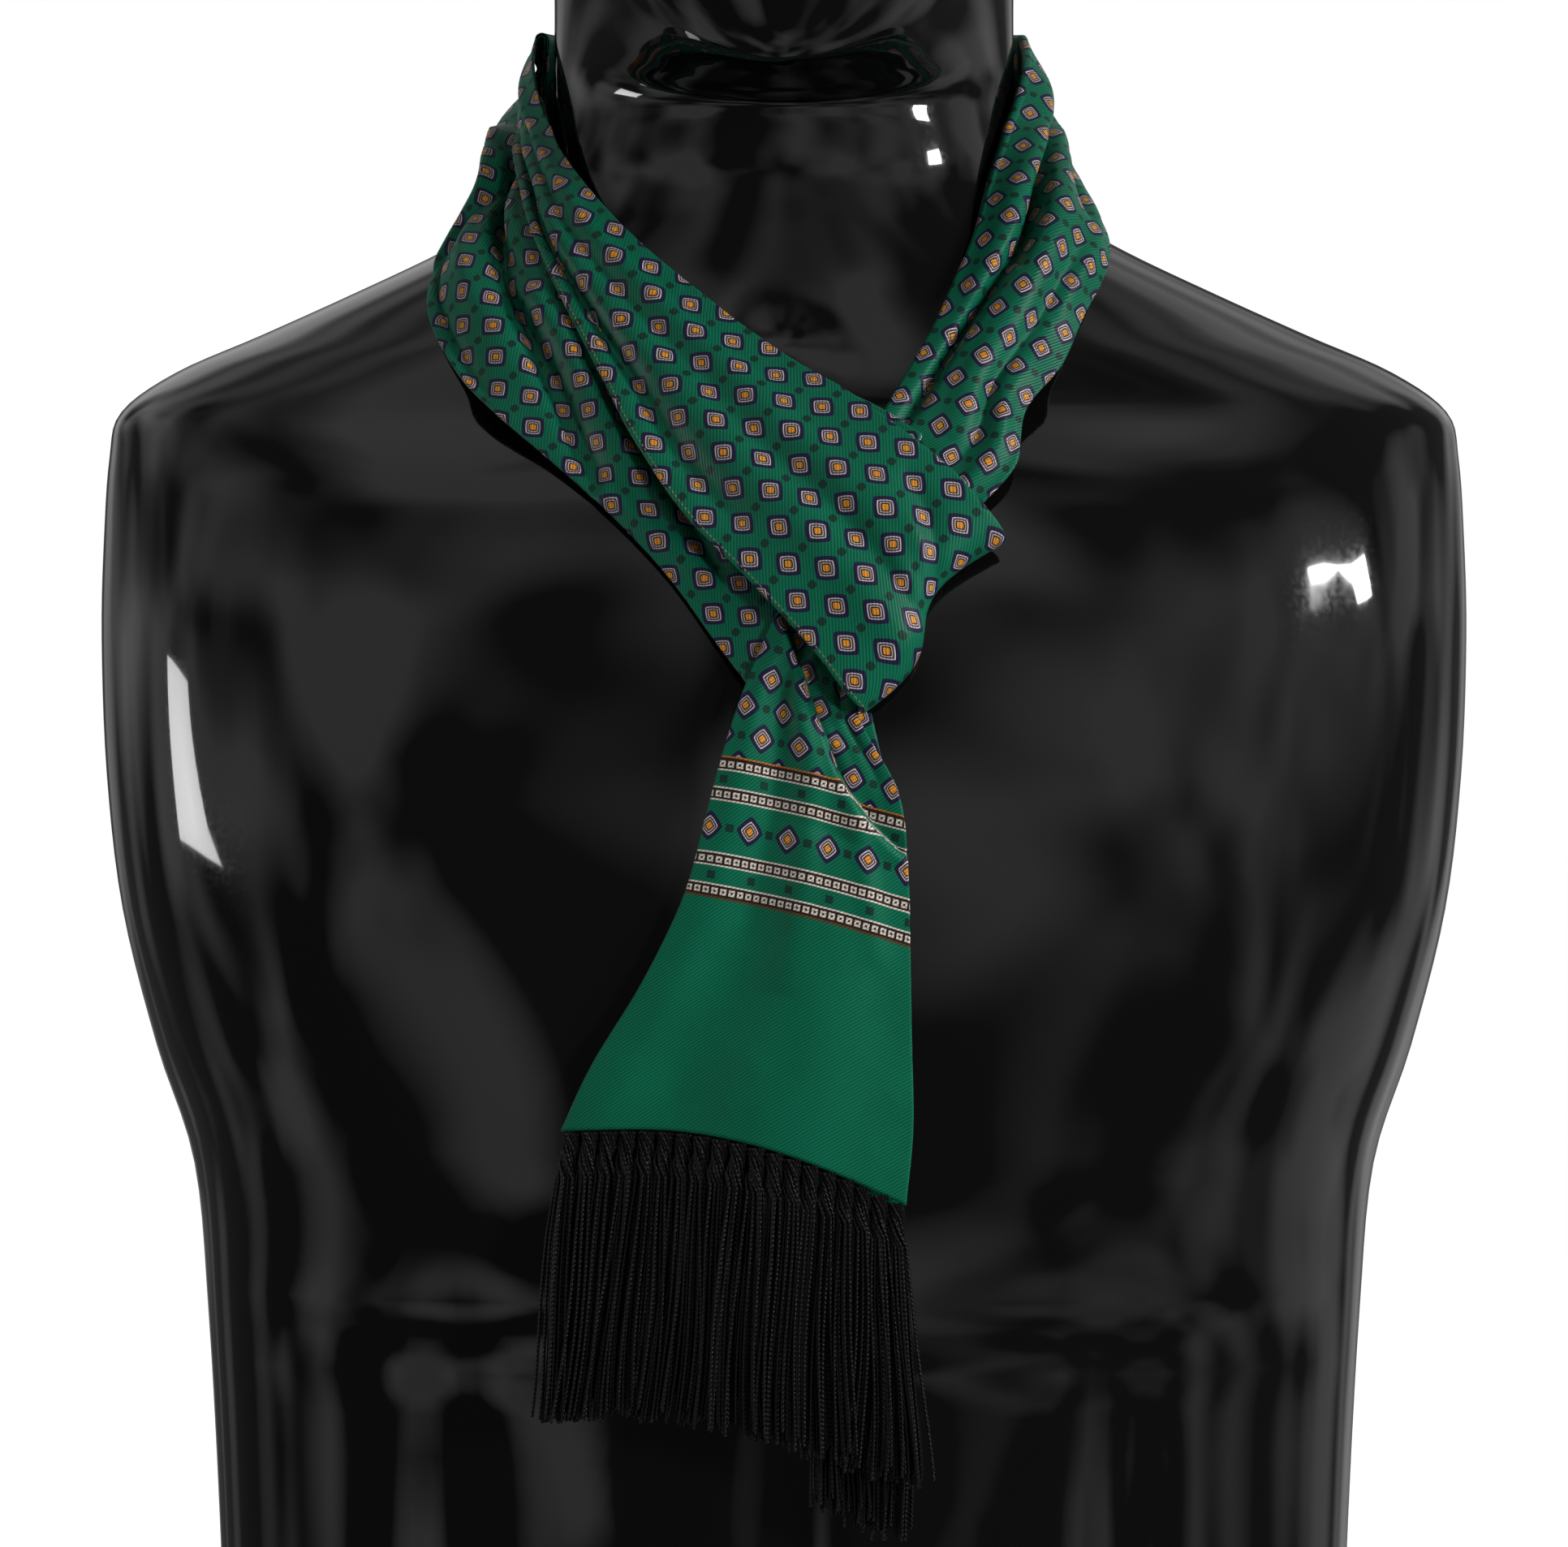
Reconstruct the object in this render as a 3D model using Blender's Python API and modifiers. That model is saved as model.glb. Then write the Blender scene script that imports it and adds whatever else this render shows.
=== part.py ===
"""Fringed silk scarf, crossed at the throat, on a plain limbless torso form.

Metres, +Z up, the front faces -Y and +X is the viewer's right. The origin is at the
middle of the form's flat base. Tables below are in millimetres and degrees.
"""
import math
import random
from collections import namedtuple

import bmesh
import bpy
import numpy as np
from mathutils import Vector

MM = 0.001

# ---------------------------------------------------------------- driving dimensions
CLOTH_WALL = 1.2            # doubled silk twill, pressed flat
SEAM_GAP = 0.3              # between a hem and its fringe
SEAM_SHARE = 0.02           # seam at each end of the neck stretch, in sections
GATHER_SHARE = 0.03         # seam between the right stretch and its tail, in sections
AXIS_Y = 8.0                # the neck's axis lies this far behind the origin

# points across each layer of cloth, and sections to a row of its table
FOLD_STEPS = 3              # round the lengthwise fold along the neck
NECK_POINTS = 8, 7          # under and over layer
RIGHT_POINTS = 5, 14
LEFT_POINTS = 14
FRONT_TAIL_POINTS = 24
BACK_TAIL_POINTS = 8
NECK_SECTIONS = 3
SECTIONS = 2

FORM_SEGMENTS = 44
FRINGE_LENGTH = 82.0
FRINGE_ROWS = 2             # locks one behind the other
LOCK_WIDTH = 1.4            # of one lock at its root
LOCK_STEPS = ((0.06, 1.0), (0.35, 1.0), (0.7, 0.9), (1.0, 0.5))   # (depth, width) shares
LOCK_JITTER = 0.25          # sideways, at the tip
LENGTH_JITTER = 2.5
WAVES_ACROSS = 3            # of the tips, over the whole fringe
WAVES_DOWN = 0.8            # along one lock
ROW_FAN = 1.2               # how much the rows part towards the tips
STRIP_HEIGHT = 2.6          # backing strip that carries the locks
STRIP_DEPTH = 3.4

# columns of locks, how far the left and right ends drift, how much shorter the right end
# is, how far the tips wave, and the seed of the jitter
FRONT_FRINGE = {"columns": 44, "left": -9.0, "right": 1.0, "shorter": 0.02, "wave": 0.9,
                "seed": 7}
BACK_FRINGE = {"columns": 16, "left": -1.5, "right": 1.0, "shorter": 0.0, "wave": 0.25,
               "seed": 11}

# One ring of the form a row. front and back are depths from the neck's axis, rise is how
# much higher the ring lies at its back than at its front.
Ring = namedtuple("Ring", "height half_width front back power rise")
BODY_RINGS = [
    (0, 166, 96, 94, 2.4, 0),
    (60, 168, 99, 93, 2.4, 0),
    (120, 171, 107, 96, 2.4, 0),
    (165, 175, 114, 100, 2.4, 0),
    (200, 186, 118, 104, 2.5, 0),
    (240, 196, 119, 108, 2.6, 0),
    (280, 201, 117, 111, 2.6, 0),
    (320, 203, 110, 112, 2.6, 0),
    (350, 203, 101, 111, 2.5, 0),
    (374, 202, 90, 107, 2.4, 0),
    (388, 199, 81, 103, 2.3, 0),
    (400, 183, 75, 98, 2.1, 0),
    (411, 158, 71, 93, 2.0, 0),
    (423, 131, 67, 87, 2.0, 0),
    (436, 103, 64, 80, 2.0, 0),
    (446, 86, 62, 75, 2.0, 0),
    (457, 76, 60, 70, 2.0, 0),
    (470, 70, 60, 67, 2.0, 0),
]
HEAD_RINGS = [
    (473.5, 69, 64, 66, 2.0, 14),
    (476.5, 68.5, 74, 66, 2.0, 30),
    (481, 68.5, 85, 66, 2.1, 40),
    (489, 69, 91, 68, 2.2, 44),
    (504, 71, 95, 73, 2.2, 45),
    (526, 74, 97, 81, 2.2, 42),
    (560, 77, 98, 88, 2.2, 30),
    (600, 79, 97, 94, 2.1, 16),
    (640, 77, 91, 94, 2.1, 6),
    (670, 68, 76, 84, 2.1, 0),
    (690, 51, 55, 65, 2.0, 0),
    (702, 29, 30, 41, 2.0, 0),
    (706, 13, 13, 22, 2.0, 0),
]
NECK_TOP = 470.0            # above this the scarf follows the neck straight up
CHEST_FULLEST = 246.0       # below this a hanging end falls plumb

# how a point of the form is found: halvings of the farthest reach from the neck's axis, and
# the steps either side of it (degrees, height) that give its slope
HALVINGS = 40
FARTHEST = 400.0
TURN_STEP = 1.0
HEIGHT_STEP = 4.0

# Sections across the band round the neck. turn is the bearing about the neck's axis in
# degrees (0 faces front, 90 is the viewer's right), z the height, lift the distance off
# the form. near is the edge along the neck, far the opposite edge. bow lifts the middle of
# the section off the form and belly turns it sideways.
Band = namedtuple("Band", "near_turn near_z near_lift far_turn far_z far_lift bow belly")
NECK_INNER = [
    (100, 491, 2.2, 98, 452, 3.0, 6.0, 0),
    (125, 500, 2.2, 123, 449, 3.0, 5.0, 0),
    (152, 506, 2.2, 151, 444, 3.0, 4.0, 0),
    (180, 508, 2.2, 180, 442, 3.0, 4.0, 0),
    (208, 506, 2.2, 209, 444, 3.0, 4.0, 0),
    (235, 500, 2.2, 237, 449, 3.0, 4.5, 0),
    (260, 489, 2.2, 262, 452, 3.0, 4.0, 0),
]
NECK_OUTER = [
    (100, 491, 5.2, 98, 455, 7.5, 9.0, 0),
    (125, 500, 5.2, 123, 453, 7.0, 8.0, 0),
    (152, 506, 5.2, 151, 449, 6.5, 7.0, 0),
    (180, 508, 5.2, 180, 447, 6.5, 6.5, 0),
    (208, 506, 5.2, 209, 450, 7.0, 7.0, 0),
    (235, 500, 5.2, 238, 462, 15.0, 4.0, 0),
    (260, 489, 5.2, 265, 475, 14.5, 0.6, 0),
]
LEFT_OVER = [
    (-100, 489, 5.2, -95, 475, 14.5, 0.6, 0),
    (-87, 482, 5.2, -77, 457, 13.0, 1.5, 0),
    (-68, 464, 5.2, -55, 437, 9.5, 2.0, 0),
    (-45, 443.5, 5.8, -44, 420, 9.4, 2.5, 0),
    (-25, 422.5, 6.8, -33, 398, 9.6, 3.0, 0),
    (-8, 405.5, 8.4, -22, 373, 10.2, 3.0, 0),
    (6, 391, 10.6, -13, 350, 11.2, 2.6, 0),
    (17, 380, 13.0, -4, 331, 12.8, 2.2, 0.6),
    (24.5, 371.5, 14.8, 4, 314, 14.4, 1.6, 1.4),
    (28.4, 357, 14.8, 8.6, 301, 14.6, 1.0, 2.2),
    (30.4, 350, 12.4, 10.3, 297, 12.2, 0.6, 2.5),
    (31.2, 348, 8.2, 10.9, 296, 8.2, 0.0, 2.5),
    (30.2, 349, 4.0, 10.2, 298, 4.2, 0.0, 2.3),
    (27.0, 351, 1.9, 7.6, 301, 2.0, 0.0, 2.0),
    (22.0, 354, 1.8, 4.0, 306, 1.8, 0.0, 1.4),
]
LEFT_UNDER = [
    (-100, 486, 2.4, -98, 452, 3.0, 4.0, 0),
    (-87, 479, 2.4, -79, 440, 3.6, 4.0, 0),
    (-68, 461, 2.4, -62, 409, 3.6, 3.0, 0),
    (-45, 440.5, 2.9, -50, 388, 3.4, 2.2, 0),
    (-25, 419.5, 3.8, -37.5, 370, 3.0, 1.4, 0),
    (-8, 401.5, 5.4, -26.5, 353, 2.8, 1.0, 0),
    (6, 388.5, 7.6, -17, 335, 3.0, 1.0, 0),
    (17, 378.5, 9.6, -9.5, 316, 4.2, 1.0, 0),
    (23, 370.5, 11.2, -5, 304, 6.8, 0.6, 0),
]
RIGHT_LOWER = [
    (100, 491, 2.2, 98, 452, 3.0, 6.0, 0),
    (86, 482, 2.0, 81, 448, 3.0, 5.0, 0),
    (72, 469, 2.0, 69, 430, 3.0, 3.5, 0),
    (53, 445, 2.0, 56, 412, 3.0, 2.0, 0),
    (41, 425, 2.2, 47, 396, 3.0, 1.0, 0),
    (31, 404, 2.4, 38, 381, 3.2, 0.4, 0),
    (21, 385, 2.6, 32, 368, 3.6, 0.2, 0),
    (16, 375, 3.0, 27, 357, 3.8, 0.1, 0),
]
RIGHT_UPPER = [
    (100, 491, 5.2, 98, 455, 7.5, 9.0, 0),
    (86, 482, 5.0, 81, 446, 7.0, 10.0, 0),
    (72, 469, 4.8, 68, 427, 6.6, 9.0, 0),
    (53, 445, 4.8, 57.5, 408, 6.6, 6.5, 0),
    (41, 425, 4.8, 48.5, 391, 6.6, 4.8, 0),
    (31, 404, 4.8, 39.5, 376, 6.6, 2.8, 0),
    (21, 385, 5.2, 33, 363, 6.6, 1.2, 0),
    (16, 375, 5.8, 28, 353, 6.6, 0.3, 0),
]

# Creases along the band: across is where each lies (0 near edge, 1 far edge) at the first
# and last section it runs through, height is negative for a trough.
Crease = namedtuple("Crease", "first last across_first across_last width height")
SIDE_ROLL = 11.0            # how far the under layer rolls out at the side of the neck
NECK_CREASES = [(5.1, 6.9, 0.66, 0.66, 0.14, SIDE_ROLL)]
LEFT_UNDER_CREASES = [
    (-1.3, 1.3, 0.66, 0.66, 0.14, SIDE_ROLL),
    (0.6, 5.5, 0.40, 0.62, 0.10, -1.6),
    (0.9, 6.5, 0.60, 0.82, 0.12, 2.6),
    (1.2, 5.0, 0.86, 0.94, 0.07, -1.2),
]
LEFT_OVER_CREASES = [
    (2.0, 9.0, 0.25, 0.42, 0.09, 1.0),
    (4.0, 10.0, 0.62, 0.72, 0.10, 1.1),
]
RIGHT_CREASES = [
    (-0.5, 5.6, 0.20, 0.38, 0.09, -3.0),
    (1.0, 5.0, 0.46, 0.62, 0.12, 1.6),
    (2.0, 6.0, 0.78, 0.82, 0.09, -1.4),
]

# Sections across a hanging end, from the gather down to the hem. x and z are seen from
# the front, lift is the distance off the form and arch how far the middle rides up.
Tail = namedtuple("Tail", "left_x left_z left_lift right_x right_z right_lift arch")
FRONT_TAIL = [
    (26, 373, 5.2, 50, 352, 5.8, 0),
    (14, 345, 4.8, 43, 334, 5.8, 0),
    (1, 322, 5.0, 29, 319, 6.4, 0),
    (-10, 304, 5.4, 20, 299, 6.8, 1),
    (-16.6, 286, 5.8, 31.5, 275, 6.8, 3),
    (-21.4, 268, 6.0, 34.2, 253, 6.8, 4),
    (-27.5, 246, 6.0, 34.8, 231, 6.8, 5),
    (-39, 222, 6.4, 35.2, 206, 7.0, 5),
    (-53, 199, 6.8, 35.6, 181, 7.2, 6.5),
    (-62, 180, 7.0, 33.6, 159.5, 7.4, 8),
]
BACK_TAIL = [
    (2, 300, 1.7, 24, 297, 1.7, 0),
    (3, 272, 1.8, 33, 268, 1.8, 0),
    (4, 240, 1.9, 37, 234, 1.9, 0),
    (5, 205, 2.0, 38.4, 196, 2.0, 0),
    (5, 163, 2.1, 38.6, 152, 2.1, 0),
]
TAIL_CREASES = [
    (1.5, 6.0, 0.14, 0.10, 0.08, 1.3),
    (1.2, 6.6, 0.34, 0.30, 0.07, -1.4),
    (1.4, 7.0, 0.48, 0.52, 0.07, 1.5),
    (2.2, 5.8, 0.70, 0.92, 0.08, -2.3),
    (2.6, 5.6, 0.86, 0.99, 0.06, 1.0),
]


# ---------------------------------------------------------------- curves and surfaces
def smooth(rows, position):
    """Row of a table at a fractional position, on a curve through all the rows."""
    table = np.asarray(rows, dtype=float)
    last = len(table) - 1
    index = min(max(int(math.floor(position)), 0), last - 1)
    t = position - index
    before = table[max(index - 1, 0)]
    start = table[index]
    end = table[index + 1]
    after = table[min(index + 2, last)]
    slope_start = (end - before) / (2.0 if index > 0 else 1.0)
    slope_end = (after - start) / (2.0 if index + 2 <= last else 1.0)
    return ((2 * t**3 - 3 * t**2 + 1) * start + (t**3 - 2 * t**2 + t) * slope_start
            + (3 * t**2 - 2 * t**3) * end + (t**3 - t**2) * slope_end)


def ring_at(height):
    """The body's ring at a height, on straight lines between the table's rows."""
    table = np.asarray(BODY_RINGS, dtype=float)
    level = min(max(height, table[0, 0]), NECK_TOP)
    return Ring(*(float(np.interp(level, table[:, 0], column)) for column in table.T))


def ring_point(ring, angle):
    """Point (x, y) of a ring at a parameter angle, 0 at the front."""
    side = math.sin(angle)
    ahead = math.cos(angle)
    depth = (ring.front + ring.back) / 2
    middle = (ring.back - ring.front) / 2
    x = ring.half_width * math.copysign(abs(side) ** (2 / ring.power), side)
    y = middle - depth * math.copysign(abs(ahead) ** (2 / ring.power), ahead)
    return x, y


def form_point(turn, height):
    """Point of the form's surface at a bearing about the neck's axis and a height."""
    ring = ring_at(height)
    depth = (ring.front + ring.back) / 2
    middle = (ring.back - ring.front) / 2
    out_x = math.sin(math.radians(turn))
    out_y = -math.cos(math.radians(turn))
    low, high = 0.0, FARTHEST
    for _ in range(HALVINGS):
        reach = (low + high) / 2
        inside = abs(reach * out_x / ring.half_width) ** ring.power
        inside += abs((reach * out_y - middle) / depth) ** ring.power
        low, high = (reach, high) if inside < 1 else (low, reach)
    return Vector((low * out_x, low * out_y, height))


def on_form(turn, height, lift):
    """Point lifted square off the form's surface."""
    here = form_point(turn, height)
    along = form_point(turn + TURN_STEP, height) - form_point(turn - TURN_STEP, height)
    up = form_point(turn, height + HEIGHT_STEP) - form_point(turn, height - HEIGHT_STEP)
    return here + along.cross(up).normalized() * lift


def hanging(x, height, lift):
    """Point in front of the chest that falls plumb below the fullest part."""
    ring = ring_at(max(height, CHEST_FULLEST))
    depth = (ring.front + ring.back) / 2
    middle = (ring.back - ring.front) / 2
    y = middle - depth * (1 - abs(x / ring.half_width) ** ring.power) ** (1 / ring.power)
    return Vector((x, y - lift, height))


def crease_lift(creases, position, across):
    """Height of all the creases at one place of a band, fading out at their ends."""
    total = 0.0
    for crease in map(Crease._make, creases):
        share = (position - crease.first) / (crease.last - crease.first)
        if 0 < share < 1:
            centre = crease.across_first + (crease.across_last - crease.across_first) * share
            fade = math.sqrt(math.sin(math.pi * share))
            total += crease.height * fade * math.exp(-(((across - centre) / crease.width) ** 2))
    return total


def band_point(rows, creases, position, across):
    """Point of one layer of the band, across running from the near to the far edge."""
    row = Band(*smooth(rows, position))
    middle = math.sin(math.pi * across)
    lift = row.near_lift + (row.far_lift - row.near_lift) * across + row.bow * middle
    lift += crease_lift(creases, position, across)
    turn = row.near_turn + (row.far_turn - row.near_turn) * across + row.belly * middle
    return on_form(turn, row.near_z + (row.far_z - row.near_z) * across, lift)


def fold_arc(outer, inner):
    """Points of a half round that joins two layers over the top, from inner to outer."""
    middle = (outer + inner) / 2
    side = (outer - inner) / 2
    across = side.normalized()
    up = Vector((0, 0, 1))
    rise = (up - across * up.dot(across)) * side.length
    angles = [math.pi * step / (FOLD_STEPS + 1) for step in range(1, FOLD_STEPS + 1)]
    return [middle - side * math.cos(angle) + rise * math.sin(angle) for angle in angles]


def positions(rows, per_row):
    """Evenly spaced positions along a table."""
    steps = (len(rows) - 1) * per_row
    return [step / per_row for step in range(steps + 1)]


def spread(count):
    """Places across a layer from its near to its far edge."""
    return [step / (count - 1) for step in range(count)]


# ---------------------------------------------------------------- objects
def material(name, color, roughness, metallic=0.0):
    """Principled material with one colour."""
    made = bpy.data.materials.new(name)
    made.use_nodes = True
    shader = made.node_tree.nodes["Principled BSDF"]
    shader.inputs["Base Color"].default_value = (*color, 1.0)
    shader.inputs["Roughness"].default_value = roughness
    shader.inputs["Metallic"].default_value = metallic
    return made


def mesh_object(name, points, faces, finish, collection):
    """Object from points in millimetres, moved so that the form's base is centred."""
    mesh = bpy.data.meshes.new(name)
    mesh.from_pydata([(x * MM, (y + AXIS_Y) * MM, z * MM) for x, y, z in points], [], faces)
    mesh.validate()
    mesh.materials.append(finish)
    mesh.shade_smooth()
    made = bpy.data.objects.new(name, mesh)
    collection.objects.link(made)
    return made


def sheet_object(name, grid, finish, collection):
    """Cloth wall on an open grid of points."""
    columns = len(grid[0])
    points = [point for row in grid for point in row]
    faces = []
    for row in range(len(grid) - 1):
        for column in range(columns - 1):
            corner = row * columns + column
            faces.append((corner, corner + 1, corner + columns + 1, corner + columns))
    made = mesh_object(name, points, faces, finish, collection)
    wall = made.modifiers.new("wall", "SOLIDIFY")
    wall.thickness = CLOTH_WALL * MM
    wall.offset = 0.0
    wall.use_even_offset = True
    return made


def torso_form(finish, collection):
    """The form: a loft through all its rings, closed by a flat base and a small crown."""
    points = []
    rings = [Ring(*row) for row in BODY_RINGS + HEAD_RINGS]
    for ring in rings:
        for segment in range(FORM_SEGMENTS):
            x, y = ring_point(ring, 2 * math.pi * segment / FORM_SEGMENTS)
            share = (y + ring.front) / (ring.front + ring.back)
            points.append((x, y, ring.height + ring.rise * share))
    faces = []
    for ring in range(len(rings) - 1):
        for segment in range(FORM_SEGMENTS):
            after = (segment + 1) % FORM_SEGMENTS
            low = ring * FORM_SEGMENTS
            high = low + FORM_SEGMENTS
            faces.append((low + segment, low + after, high + after, high + segment))
    top = (len(rings) - 1) * FORM_SEGMENTS
    faces.append(tuple(reversed(range(FORM_SEGMENTS))))
    faces.append(tuple(range(top, top + FORM_SEGMENTS)))
    return mesh_object("torso_form", points, faces, finish, collection)


def doubled_grid(inner, outer, inner_creases, creases, places, counts):
    """Sections of a band that is folded along its near edge."""
    inner_count, outer_count = counts
    grid = []
    for position in places:
        under = [band_point(inner, inner_creases, position, t)
                 for t in reversed(spread(inner_count))]
        over = [band_point(outer, creases, position, t) for t in spread(outer_count)]
        grid.append(under + fold_arc(over[0], under[-1]) + over)
    return grid


def single_grid(rows, creases, places, count):
    """Sections of one layer of the band."""
    return [[band_point(rows, creases, position, t) for t in spread(count)]
            for position in places]


def trimmed(places, trim):
    """Positions with their first and last moved in, which leaves a seam at both ends."""
    return [places[0] + trim] + places[1:-1] + [places[-1] - trim]


def tail_grid(rows, creases, places, count):
    """Sections of a hanging end, gathered at the top."""
    grid = []
    for position in places:
        row = Tail(*smooth(rows, position))
        section = []
        for t in spread(count):
            lift = row.left_lift + (row.right_lift - row.left_lift) * t
            lift += crease_lift(creases, position, t)
            x = row.left_x + (row.right_x - row.left_x) * t
            z = row.left_z + (row.right_z - row.left_z) * t + row.arch * math.sin(math.pi * t)
            section.append(hanging(x, z, lift))
        grid.append(section)
    return grid


def fringe_object(name, hem, plan, finish, collection):
    """Backing strip along a hem, with tapered locks that grow out of its underside."""
    rng = random.Random(plan["seed"])
    count = plan["columns"]
    mesh = bmesh.new()
    columns = []
    for step in range(count + 1):
        top = smooth(hem, (len(hem) - 1) * step / count)
        columns.append([
            [mesh.verts.new((top[0], top[1] + STRIP_DEPTH * (row / FRINGE_ROWS - 0.5),
                             top[2] - SEAM_GAP - drop))
             for row in range(FRINGE_ROWS + 1)]
            for drop in (0.0, STRIP_HEIGHT)])
    roots = []
    for step in range(count):
        (top_a, low_a), (top_b, low_b) = columns[step], columns[step + 1]
        for row in range(FRINGE_ROWS):
            mesh.faces.new((top_a[row], top_b[row], top_b[row + 1], top_a[row + 1]))
            root = mesh.faces.new((low_a[row + 1], low_b[row + 1], low_b[row], low_a[row]))
            roots.append((root, (step + 0.5) / count, row))
        mesh.faces.new((low_a[0], low_b[0], top_b[0], top_a[0]))
        mesh.faces.new((low_b[-1], low_a[-1], top_a[-1], top_b[-1]))
    for top, low in (columns[0], columns[-1]):
        for row in range(FRINGE_ROWS):
            mesh.faces.new((top[row], top[row + 1], low[row + 1], low[row]))
    for root, share, row in roots:
        grow_lock(mesh, root, share, row, plan, rng)
    bmesh.ops.recalc_face_normals(mesh, faces=mesh.faces)
    for vertex in mesh.verts:
        vertex.co = (vertex.co + Vector((0, AXIS_Y, 0))) * MM
    data = bpy.data.meshes.new(name)
    mesh.to_mesh(data)
    mesh.free()
    data.materials.append(finish)
    made = bpy.data.objects.new(name, data)
    collection.objects.link(made)
    return made


def grow_lock(mesh, face, share, row, plan, rng):
    """One lock: a root face drawn down in steps along a soft curve, and tapered."""
    root = face.calc_center_median()
    length = FRINGE_LENGTH * (1 - plan["shorter"] * share)
    length += rng.uniform(-LENGTH_JITTER, LENGTH_JITTER)
    drift = plan["left"] * (1 - share) + plan["right"] * share
    drift += rng.uniform(-LOCK_JITTER, LOCK_JITTER)
    fan = (row - (FRINGE_ROWS - 1) / 2) * ROW_FAN
    for depth, width in LOCK_STEPS:
        face = bmesh.ops.extrude_discrete_faces(mesh, faces=[face])["faces"][0]
        turns = share * WAVES_ACROSS + depth * WAVES_DOWN
        wave = plan["wave"] * math.sin(2 * math.pi * turns)
        middle = root + Vector((drift + wave, fan, -length)) * depth
        half = LOCK_WIDTH / 2 * width
        was = face.calc_center_median()
        for vertex in face.verts:
            side = vertex.co - was
            corner = Vector((math.copysign(half, side.x), math.copysign(half, side.y), 0))
            vertex.co = middle + corner


# ---------------------------------------------------------------- the whole
for old in list(bpy.data.objects):
    bpy.data.objects.remove(old, do_unlink=True)

scarf = bpy.data.collections.new("tassel_scarf")
bpy.context.scene.collection.children.link(scarf)

black_gloss = material("black_gloss", (0.006, 0.006, 0.007), 0.08)
green_silk = material("green_silk_twill", (0.012, 0.13, 0.08), 0.42)
black_silk = material("black_silk_cord", (0.008, 0.008, 0.008), 0.45)

torso_form(black_gloss, scarf)

neck_places = trimmed(positions(NECK_INNER, NECK_SECTIONS), SEAM_SHARE)
neck = doubled_grid(NECK_INNER, NECK_OUTER, NECK_CREASES, [], neck_places, NECK_POINTS)
sheet_object("neck_stretch", neck, green_silk, scarf)
over = single_grid(LEFT_OVER, LEFT_OVER_CREASES, positions(LEFT_OVER, SECTIONS), LEFT_POINTS)
sheet_object("left_over_stretch", over, green_silk, scarf)
under = single_grid(LEFT_UNDER, LEFT_UNDER_CREASES, positions(LEFT_UNDER, SECTIONS),
                    LEFT_POINTS)
sheet_object("left_under_stretch", under, green_silk, scarf)
right_places = positions(RIGHT_LOWER, SECTIONS)
right = doubled_grid(RIGHT_LOWER, RIGHT_UPPER, [], RIGHT_CREASES, right_places, RIGHT_POINTS)
sheet_object("right_stretch", right, green_silk, scarf)

gather = single_grid(RIGHT_UPPER, [], [right_places[-1] + GATHER_SHARE], FRONT_TAIL_POINTS)
front = gather + tail_grid(FRONT_TAIL, TAIL_CREASES, positions(FRONT_TAIL, SECTIONS)[1:],
                           FRONT_TAIL_POINTS)
sheet_object("front_tail", front, green_silk, scarf)
back = tail_grid(BACK_TAIL, [], positions(BACK_TAIL, SECTIONS), BACK_TAIL_POINTS)
sheet_object("back_tail", back, green_silk, scarf)

fringe_object("front_fringe", front[-1], FRONT_FRINGE, black_silk, scarf)
fringe_object("back_fringe", back[-1], BACK_FRINGE, black_silk, scarf)
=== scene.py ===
import math

import bpy
import numpy as np
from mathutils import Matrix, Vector


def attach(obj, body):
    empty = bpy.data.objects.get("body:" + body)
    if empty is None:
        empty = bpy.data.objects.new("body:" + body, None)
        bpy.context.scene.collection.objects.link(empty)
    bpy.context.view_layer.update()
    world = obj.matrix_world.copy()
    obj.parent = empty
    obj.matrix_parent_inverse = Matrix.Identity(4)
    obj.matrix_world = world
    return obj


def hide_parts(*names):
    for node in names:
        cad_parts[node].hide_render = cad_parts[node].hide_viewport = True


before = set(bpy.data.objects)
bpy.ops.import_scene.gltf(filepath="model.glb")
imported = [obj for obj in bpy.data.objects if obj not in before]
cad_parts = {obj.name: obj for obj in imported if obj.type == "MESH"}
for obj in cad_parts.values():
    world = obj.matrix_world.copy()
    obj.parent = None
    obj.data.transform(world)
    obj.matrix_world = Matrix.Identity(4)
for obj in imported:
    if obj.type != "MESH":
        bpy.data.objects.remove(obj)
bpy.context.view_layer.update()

mm = 0.001


# small tools: curves through tables, nodes, meshes
def through(table, at):
    # smooth curve through the rows of a table, read at values of its first column
    table = np.asarray(table, float)
    at = np.asarray(at, float)
    keys = table[:, 0]
    steps = np.diff(keys)
    slopes = np.diff(table, axis=0) / steps[:, None]
    before, after = steps[:-1, None], steps[1:, None]
    inner = (slopes[:-1] * after + slopes[1:] * before) / (before + after)
    tangents = np.vstack([slopes[:1], inner, slopes[-1:]])
    index = np.clip(np.searchsorted(keys, at, side="right") - 1, 0, len(steps) - 1)
    step = steps[index][..., None]
    t = (np.clip(at, keys[0], keys[-1]) - keys[index])[..., None] / step
    return ((2 * t**3 - 3 * t**2 + 1) * table[index]
            + (t**3 - 2 * t**2 + t) * step * tangents[index]
            + (3 * t**2 - 2 * t**3) * table[index + 1]
            + (t**3 - t**2) * step * tangents[index + 1])


def rowsAt(rows, position):
    # a table read at fractional row numbers, one array for each column
    numbered = np.column_stack([np.arange(len(rows)), np.asarray(rows, float)])
    return np.moveaxis(through(numbered, position), -1, 0)[1:]


def unit(vectors):
    return vectors / np.maximum(np.linalg.norm(vectors, axis=-1, keepdims=True), 1e-9)


def smoothStep(value, low, high):
    t = np.clip((value - low) / (high - low), 0, 1)
    return t * t * (3 - 2 * t)


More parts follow.
